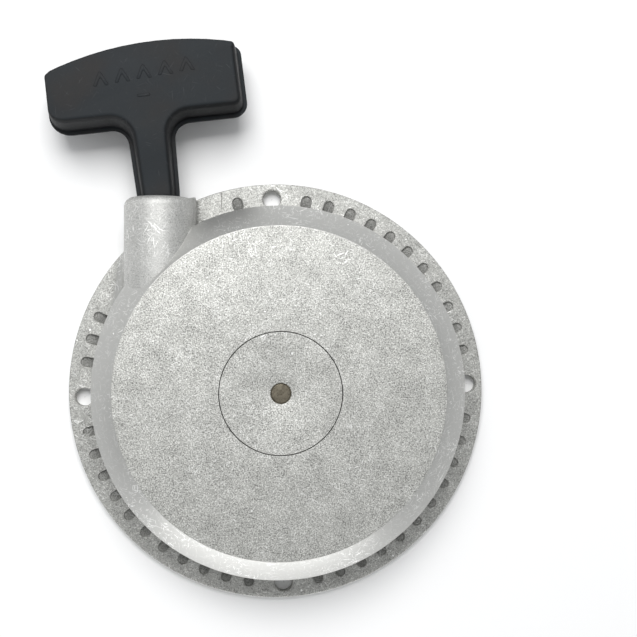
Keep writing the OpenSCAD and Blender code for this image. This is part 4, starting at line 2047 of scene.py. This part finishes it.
@dataclass
class RopeReel:
    """The moulded reel: rope groove, web, hub, spring room, pawl bosses and stiffening ribs."""

    finishes: Finishes
    route: RopeRoute = RopeRoute()
    rib_count: int = 12
    hook_angle: float = 215.0
    spring_turns: int = 9
    pawl_seats: tuple = (0, 180)
    pivot_r: float = 24 * MM

    def pawl_seat(self, angle: float) -> Matrix:
        """The frame of a pawl's boss."""
        return about_z(angle) @ Matrix.Translation((0, self.pivot_r, 0))

    def body(self) -> Piece:
        """The turned body with its ribs and bosses.

        Returns:
            The solid.
        """
        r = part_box("reel")[1].x / MM
        piece = lathe(
            "rope_reel_moulding", (8, 9, 0.3), (11, 9, 0.6), (11, 16.5, 0.8), (33, 16.5, 0.8),
            (33, 12.7, 0.4), (r, 12.7, 0.5), (r, 14.7, 0.5), (35.5, 14.7, 0.4),
            (35.5, 19.7, 0.4), (r, 19.7, 0.5), (r, 21.7, 0.5), (35.5, 21.7, 0.6),
            (35.5, 27.3, 0.5), (33, 27.3, 0.4), (33, 19.5, 0.5), (8, 19.5, 0.3), segments=160,
        )
        boss = points_mm((0, 12.6), (3.9, 12.6), (4, 12.7), (4, 16.2), (5, 16.7), (0, 16.7))
        end = r - 1.5
        rib = outline(corners_mm((43, -0.75, 0.4), (end, -0.75, 0.4), (end, 0.75, 0.4), (43, 0.75, 0.4)), 3)
        added = [turned("boss", boss, 40, self.pawl_seat(angle)) for angle in self.pawl_seats]
        for i in range(self.rib_count):
            layers = [(11.9 * MM, inset(rib, 0.15 * MM)), (12.1 * MM, rib), (12.8 * MM, rib)]
            added.append(prism("rib", layers, about_z(360 * i / self.rib_count + 15)))
        carve(piece, gather(*added), Carving.JOIN)
        return piece

    def build(self) -> Piece:
        """Builds the reel.

        Returns:
            The piece.
        """
        piece = self.body()
        knot_at = self.route.after_coil(self.route.knot_polar)
        mouth = self.route.after_coil(self.route.mouth_polar)
        run = (mouth - knot_at).to_2d()
        turn = about_z(math.degrees(math.atan2(run.y, run.x)))
        spot = Matrix.Translation((knot_at.x, knot_at.y, 0))
        pocket = points_mm((0, 8), (5.1, 8), (5.1, 18.9), (0, 18.9))
        carve(piece, turned("pocket", pocket, 48, spot), Carving.CUT)
        way_half = 3 * MM
        way_round = 1 * MM
        way = outline([
            Corner(0, -way_half), Corner(run.length, -way_half, way_round),
            Corner(run.length, way_half, way_round), Corner(0, way_half),
        ], 3)
        carve(piece, prism("way", [(12 * MM, way), (18.9 * MM, way)], spot @ turn), Carving.CUT)
        drill = points_mm((0, 11.6), (2.5, 11.6), (2.5, 18.5), (0, 18.5))
        for angle in self.pawl_seats:
            carve(piece, turned("drill", drill, 40, self.pawl_seat(angle)), Carving.CUT)
        slit = points_mm((31, -0.9), (37, -0.9), (37, 0.9), (31, 0.9))
        last = self.hook_angle - 360 * self.spring_turns
        carve(piece, prism("slit", [(20 * MM, slit), (30 * MM, slit)], about_z(last)), Carving.CUT)
        soften(piece)
        return install(piece, self.finishes, "reel_nylon", "reel", "reel")


@dataclass
class RecoilSpring:
    """The flat spiral spring, hooked in the housing's boss and in the reel's rim."""

    finishes: Finishes
    turns: int = 9
    hook_angle: float = 215.0
    inner_r: float = 13.1
    outer_r: float = 32.3
    thick: float = 0.6
    hook_r: float = 8.6
    end_r: float = 35.0
    crowding: float = 0.65

    def build(self) -> Piece:
        """Builds the spring.

        Returns:
            The piece.
        """
        low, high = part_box("recoil_spring")
        steps = self.turns * 60
        path = [polar(self.hook_r * MM, self.hook_angle)]
        for i in range(steps + 1):
            t = i / steps
            radius = self.inner_r + (self.outer_r - self.inner_r) * t ** self.crowding
            path.append(polar(radius * MM, self.hook_angle - 360 * self.turns * t))
        path.append(polar(self.end_r * MM, self.hook_angle - 360 * self.turns))
        half = self.thick / 2 * MM
        points = []
        for i, at in enumerate(path):
            along = (path[min(i + 1, len(path) - 1)] - path[max(i - 1, 0)]).normalized()
            beside = Vector((-along.y, along.x)) * half
            for side, level in ((beside, low.z), (beside, high.z), (-beside, high.z), (-beside, low.z)):
                points.append(Vector((at.x + side.x, at.y + side.y, level)))
        piece = solid("recoil_spring_strip", points, skin_of_rings(len(path), 4, False))
        soften(piece)
        return install(piece, self.finishes, "spring_steel", "housing", "recoil_spring")


# ---------------------------------------------------------------------------
# Pawls and friction plate
# ---------------------------------------------------------------------------


class Pawl(Enum):
    """The two pawls and how far round the reel each one is, in degrees."""

    A = 0
    B = 180


@dataclass
class PawlSet:
    """Pawls, pins and springs, and the friction plate that swings the pawls out, in millimetres."""

    finishes: Finishes
    pivot_r: float = 24.0
    rest: float = -20.0
    swing: float = 24.0
    plate_turn: float = 35.0
    peg_arm: float = 11.0
    peg_r: float = 1.5
    eye_r: float = 5.0
    under_z: float = 8.4
    upper_z: float = 12.2
    pin_r: float = 2.5
    coil_r: float = 4.9
    wire_r: float = 0.45
    coil_turns: float = 2.5
    window_r: float = 3.5
    window_ring: float = 21.0
    window_angles: tuple = (105, 135, 165)

    def seat(self, which: Pawl) -> Matrix:
        """Where a pawl's own frame is: its origin on the pivot, +X along the pawl at rest.

        Args:
            which: The pawl.

        Returns:
            The frame.
        """
        lift = Matrix.Translation((0, self.pivot_r * MM, 0))
        return about_z(which.value) @ lift @ about_z(self.rest)

    def pawl(self, which: Pawl) -> Piece:
        """One stamped pawl with its peg.

        Args:
            which: The pawl.

        Returns:
            The piece.
        """
        name = "pawl_" + which.name.lower()
        blade = corners_mm(
            (-1, -4.9), (8, -4.6), (18, -3.6), (22.4, -2.6, 0.6), (23, 2.2, 0.8), (20, 3.4, 0.6), (9, 4.6),
            (0, self.eye_r),
        )
        loop = outline(blade, 4) + arc_points(Vector((0, 0)), self.eye_r * MM, 91, 258, 24)
        place = self.seat(which)
        piece = prism(name + "_stamping", [(self.under_z * MM, loop), (self.upper_z * MM, loop)], place)
        bore_r = self.pin_r + 0.06
        bore = points_mm((0, 7), (bore_r, 7), (bore_r, 13), (0, 13))
        carve(piece, turned("bore", bore, 48, place), Carving.CUT)
        bevel_edges(piece, 0.25 * MM, 2, 40)
        peg = [(0, 6.3), (self.peg_r, 6.3, 0.3), (self.peg_r, 8.6), (0, 8.6)]
        at_peg = place @ Matrix.Translation((self.peg_arm * MM, 0, 0))
        gather(piece, lathe("peg", *peg, segments=32, place=at_peg))
        soften(piece)
        return install(piece, self.finishes, "pawl_steel", name, name)

    def pin(self, which: Pawl) -> Piece:
        """One pawl pin, pressed in the reel's web.

        Args:
            which: The pawl that turns on it.

        Returns:
            The piece.
        """
        node = "pawl_pin_" + which.name.lower()
        piece = lathe(
            node + "_turned", (0, 8.2), (self.pin_r, 8.2, 0.35), (self.pin_r, 18.5, 0.2), (0, 18.5),
            segments=48, place=self.seat(which),
        )
        soften(piece)
        return install(piece, self.finishes, "zinc_steel", "reel", node)

    def spring(self, which: Pawl) -> Piece:
        """One torsion spring, with its coil on the boss and its lower leg beside the pawl at rest.

        Args:
            which: The pawl that it pulls in.

        Returns:
            The piece.
        """
        node = "pawl_spring_" + which.name.lower()
        place = self.seat(which)
        steps = 120
        coil = []
        for k in range(steps + 1):
            at = polar(self.coil_r, 65 - 360 * self.coil_turns * k / steps)
            coil.append(Vector((at.x, at.y, 13.3 + 2.6 * k / steps)))
        leg = [Vector((10, 5.5, 10)), Vector((10, 5.5, 12.3)), Vector((6, 6.5, 13.1))]
        foot = polar(self.coil_r + 4, 225)
        path = [place @ (p * MM) for p in (*leg, *coil, Vector((foot.x, foot.y, 15.95)))]
        head = flowing(path[:5], 0.4 * MM)
        piece = swept(node + "_wound", head + path[5:], self.wire_r * MM, 10)
        soften(piece, 50)
        self.finishes.dress(piece, "spring_steel")
        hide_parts(node)
        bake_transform(piece)
        return piece

    def peg_at(self, share: float) -> Vector:
        """Where pawl A's peg is in the friction plate's own frame.

        Args:
            share: 0 with the pawls in, 1 with the pawls out.

        Returns:
            The point in millimetres.
        """
        arm = polar(self.peg_arm, self.rest + self.swing * share)
        at = Vector((arm.x, self.pivot_r + arm.y, 0))
        return (Matrix.Rotation(math.radians(-self.plate_turn * share), 3, "Z") @ at).to_2d()

    def peg_slot(self) -> list[Vector]:
        """The outline of the curved slot that guides a peg.

        Returns:
            The outline.
        """
        half = self.peg_r + 0.35
        steps = 12
        line = [self.peg_at(k / steps) for k in range(-1, steps + 2)]
        beside = []
        for k in range(1, steps + 2):
            run = (line[k + 1] - line[k - 1]).normalized()
            beside.append((line[k], Vector((-run.y, run.x)) * half))
        left = [at + side for at, side in beside]
        right = [at - side for at, side in reversed(beside)]
        end, end_side = beside[-1]
        first, first_side = beside[0]
        end_angle = math.degrees(math.atan2(end_side.y, end_side.x))
        first_angle = math.degrees(math.atan2(-first_side.y, -first_side.x))
        tip = arc_points(end, half, end_angle, end_angle - 180, 8)[1:-1]
        tail = arc_points(first, half, first_angle, first_angle - 180, 8)[1:-1]
        return [p * MM for p in left + tip + right + tail]

    def plate(self) -> Piece:
        """The friction plate.

        Returns:
            The piece.
        """
        low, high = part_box("friction_plate")
        rim = circle(high.x, 160)
        piece = prism("friction_plate_stamping", [(low.z, rim), (high.z, rim)])
        below = low.z - 1 * MM
        above = high.z + 1 * MM
        bore = circle(4.55 * MM, 48)
        tools = [prism("bore", [(below, bore), (above, bore)])]
        slot = self.peg_slot()
        window = circle(self.window_r * MM, 32)
        for which in Pawl:
            tools.append(prism("slot", [(below, slot), (above, slot)], about_z(which.value)))
            for angle in self.window_angles:
                place = about_z(which.value + angle) @ Matrix.Translation((self.window_ring * MM, 0, 0))
                tools.append(prism("window", [(below, window), (above, window)], place))
        carve(piece, gather(*tools), Carving.CUT)
        bevel_edges(piece, 0.14 * MM, 2, 40)
        soften(piece)
        return install(piece, self.finishes, "zinc_steel", "friction_plate", "friction_plate")

    def build(self) -> list[Piece]:
        """Builds the set.

        Returns:
            Its pieces.
        """
        made = [self.plate()]
        for which in Pawl:
            made += [self.pawl(which), self.pin(which), self.spring(which)]
        return made


# ---------------------------------------------------------------------------
# Studio
# ---------------------------------------------------------------------------


@dataclass
class Studio:
    """Pale floor, soft lights and the camera."""

    eye: Vector = field(default_factory=lambda: Vector((-20.8, 21.1, 500.0)) * MM)
    aim: Vector = field(default_factory=lambda: Vector((16.6, 28.8, 0.0)) * MM)
    lens: float = 70.12
    floor_gap: float = 0.15 * MM

    def floor(self) -> None:
        """The pale table top."""
        reach = 3.0
        low = CAD_BOX[0][2] - self.floor_gap
        loop = [Vector(p) for p in ((-reach, -reach), (reach, -reach), (reach, reach), (-reach, reach))]
        made = prism("table_top", [(low - 10 * MM, loop), (low, loop)])
        material = bpy.data.materials.new("white_card")
        material.use_nodes = True
        bench = NodeBench(material.node_tree)
        shader = material.node_tree.nodes["Principled BSDF"]
        place = bench.add("TexCoord").outputs["Object"]
        mottle = bench.step(bench.noise(place, 6.0, 2.0), 0.3, 0.7)
        colour = bench.mix(mottle, (0.90, 0.90, 0.90, 1.0), (0.915, 0.915, 0.915, 1.0))
        bench.feed(shader, "Base Color", colour)
        shader.inputs["Roughness"].default_value = 0.75
        shader.inputs["Specular IOR Level"].default_value = 0.2
        made.data.materials.append(material)

    def softbox(self, name: str, at: tuple, aim: tuple, size: tuple, power: float) -> None:
        """One rectangular soft light.

        Args:
            name: The light's name.
            at: Its place in metres.
            aim: The point it looks at.
            size: Width and height in metres.
            power: Watts.
        """
        data = bpy.data.lights.new(name, "AREA")
        data.shape = "RECTANGLE"
        data.size, data.size_y = size
        data.energy = power
        lamp = bpy.data.objects.new(name, data)
        lamp.location = at
        lamp.rotation_euler = (Vector(aim) - Vector(at)).to_track_quat("-Z", "Y").to_euler()
        bpy.context.scene.collection.objects.link(lamp)

    def camera(self) -> None:
        """The camera, looking almost straight down at the face."""
        data = bpy.data.cameras.new("camera")
        data.lens = self.lens
        data.sensor_width = 36.0
        data.clip_start = 0.01
        seat = bpy.data.objects.new("camera", data)
        back = (self.eye - self.aim).normalized()
        right = Vector((0, 1, 0)).cross(back).normalized()
        up = back.cross(right)
        turn = Matrix((right, up, back)).transposed().to_4x4()
        seat.matrix_world = Matrix.Translation(self.eye) @ turn
        bpy.context.scene.collection.objects.link(seat)
        bpy.context.scene.camera = seat

    def build(self) -> None:
        """Sets up the floor, the lights, the backdrop's glow and the camera."""
        self.floor()
        self.softbox("overhead", (-0.13, 0.665, 1.01), (0.0, 0.02, 0.0), (0.8, 0.7), 13.4)
        self.softbox("window", (-0.10, -1.3, 0.17), (0.0, 0.0, 0.02), (1.9, 0.32), 9.8)
        self.softbox("side", (-1.15, 0.45, 0.36), (0.0, 0.0, 0.02), (1.1, 0.5), 0.9)
        world = bpy.data.worlds.new("studio")
        world.use_nodes = True
        glow = world.node_tree.nodes["Background"]
        glow.inputs["Color"].default_value = (0.97, 0.985, 1.0, 1.0)
        glow.inputs["Strength"].default_value = 0.45
        bpy.context.scene.world = world
        bpy.context.scene.view_settings.view_transform = "Standard"
        self.camera()


def dress_frame_nodes(finishes: Finishes) -> None:
    """Gives the CAD nodes that stay the finish of their slot.

    Args:
        finishes: The starter's finishes.
    """
    for entry in frame["record"]["subparts"]:
        node = frame["nodes"][entry["node"]]
        slot = entry["material_slot"]
        for i in range(max(1, len(node.material_slots))):
            if not node.material_slots:
                node.data.materials.append(finishes.materials[slot])
            node.material_slots[i].material = finishes.materials[slot]


def main() -> None:
    """Builds the studio and every piece."""
    logging.basicConfig(level=logging.INFO, format="%(name)s: %(message)s")
    sizes = HousingSizes.from_frame()
    finishes = Finishes(sizes)
    Studio().build()
    dress_frame_nodes(finishes)
    handle = PullHandle(finishes)
    rope = Rope(finishes, handle.place)
    makers = [
        HousingCasting(sizes, finishes), handle, CentreStack(finishes), RopeGuide(sizes, finishes),
        RopeReel(finishes), rope, RecoilSpring(finishes), PawlSet(finishes),
    ]
    for maker in makers:
        made = maker.build()
        for piece in made if isinstance(made, list) else [made]:
            LOG.info("%s: %d faces", piece.name, len(piece.data.polygons))


if __name__ == "__main__":
    main()
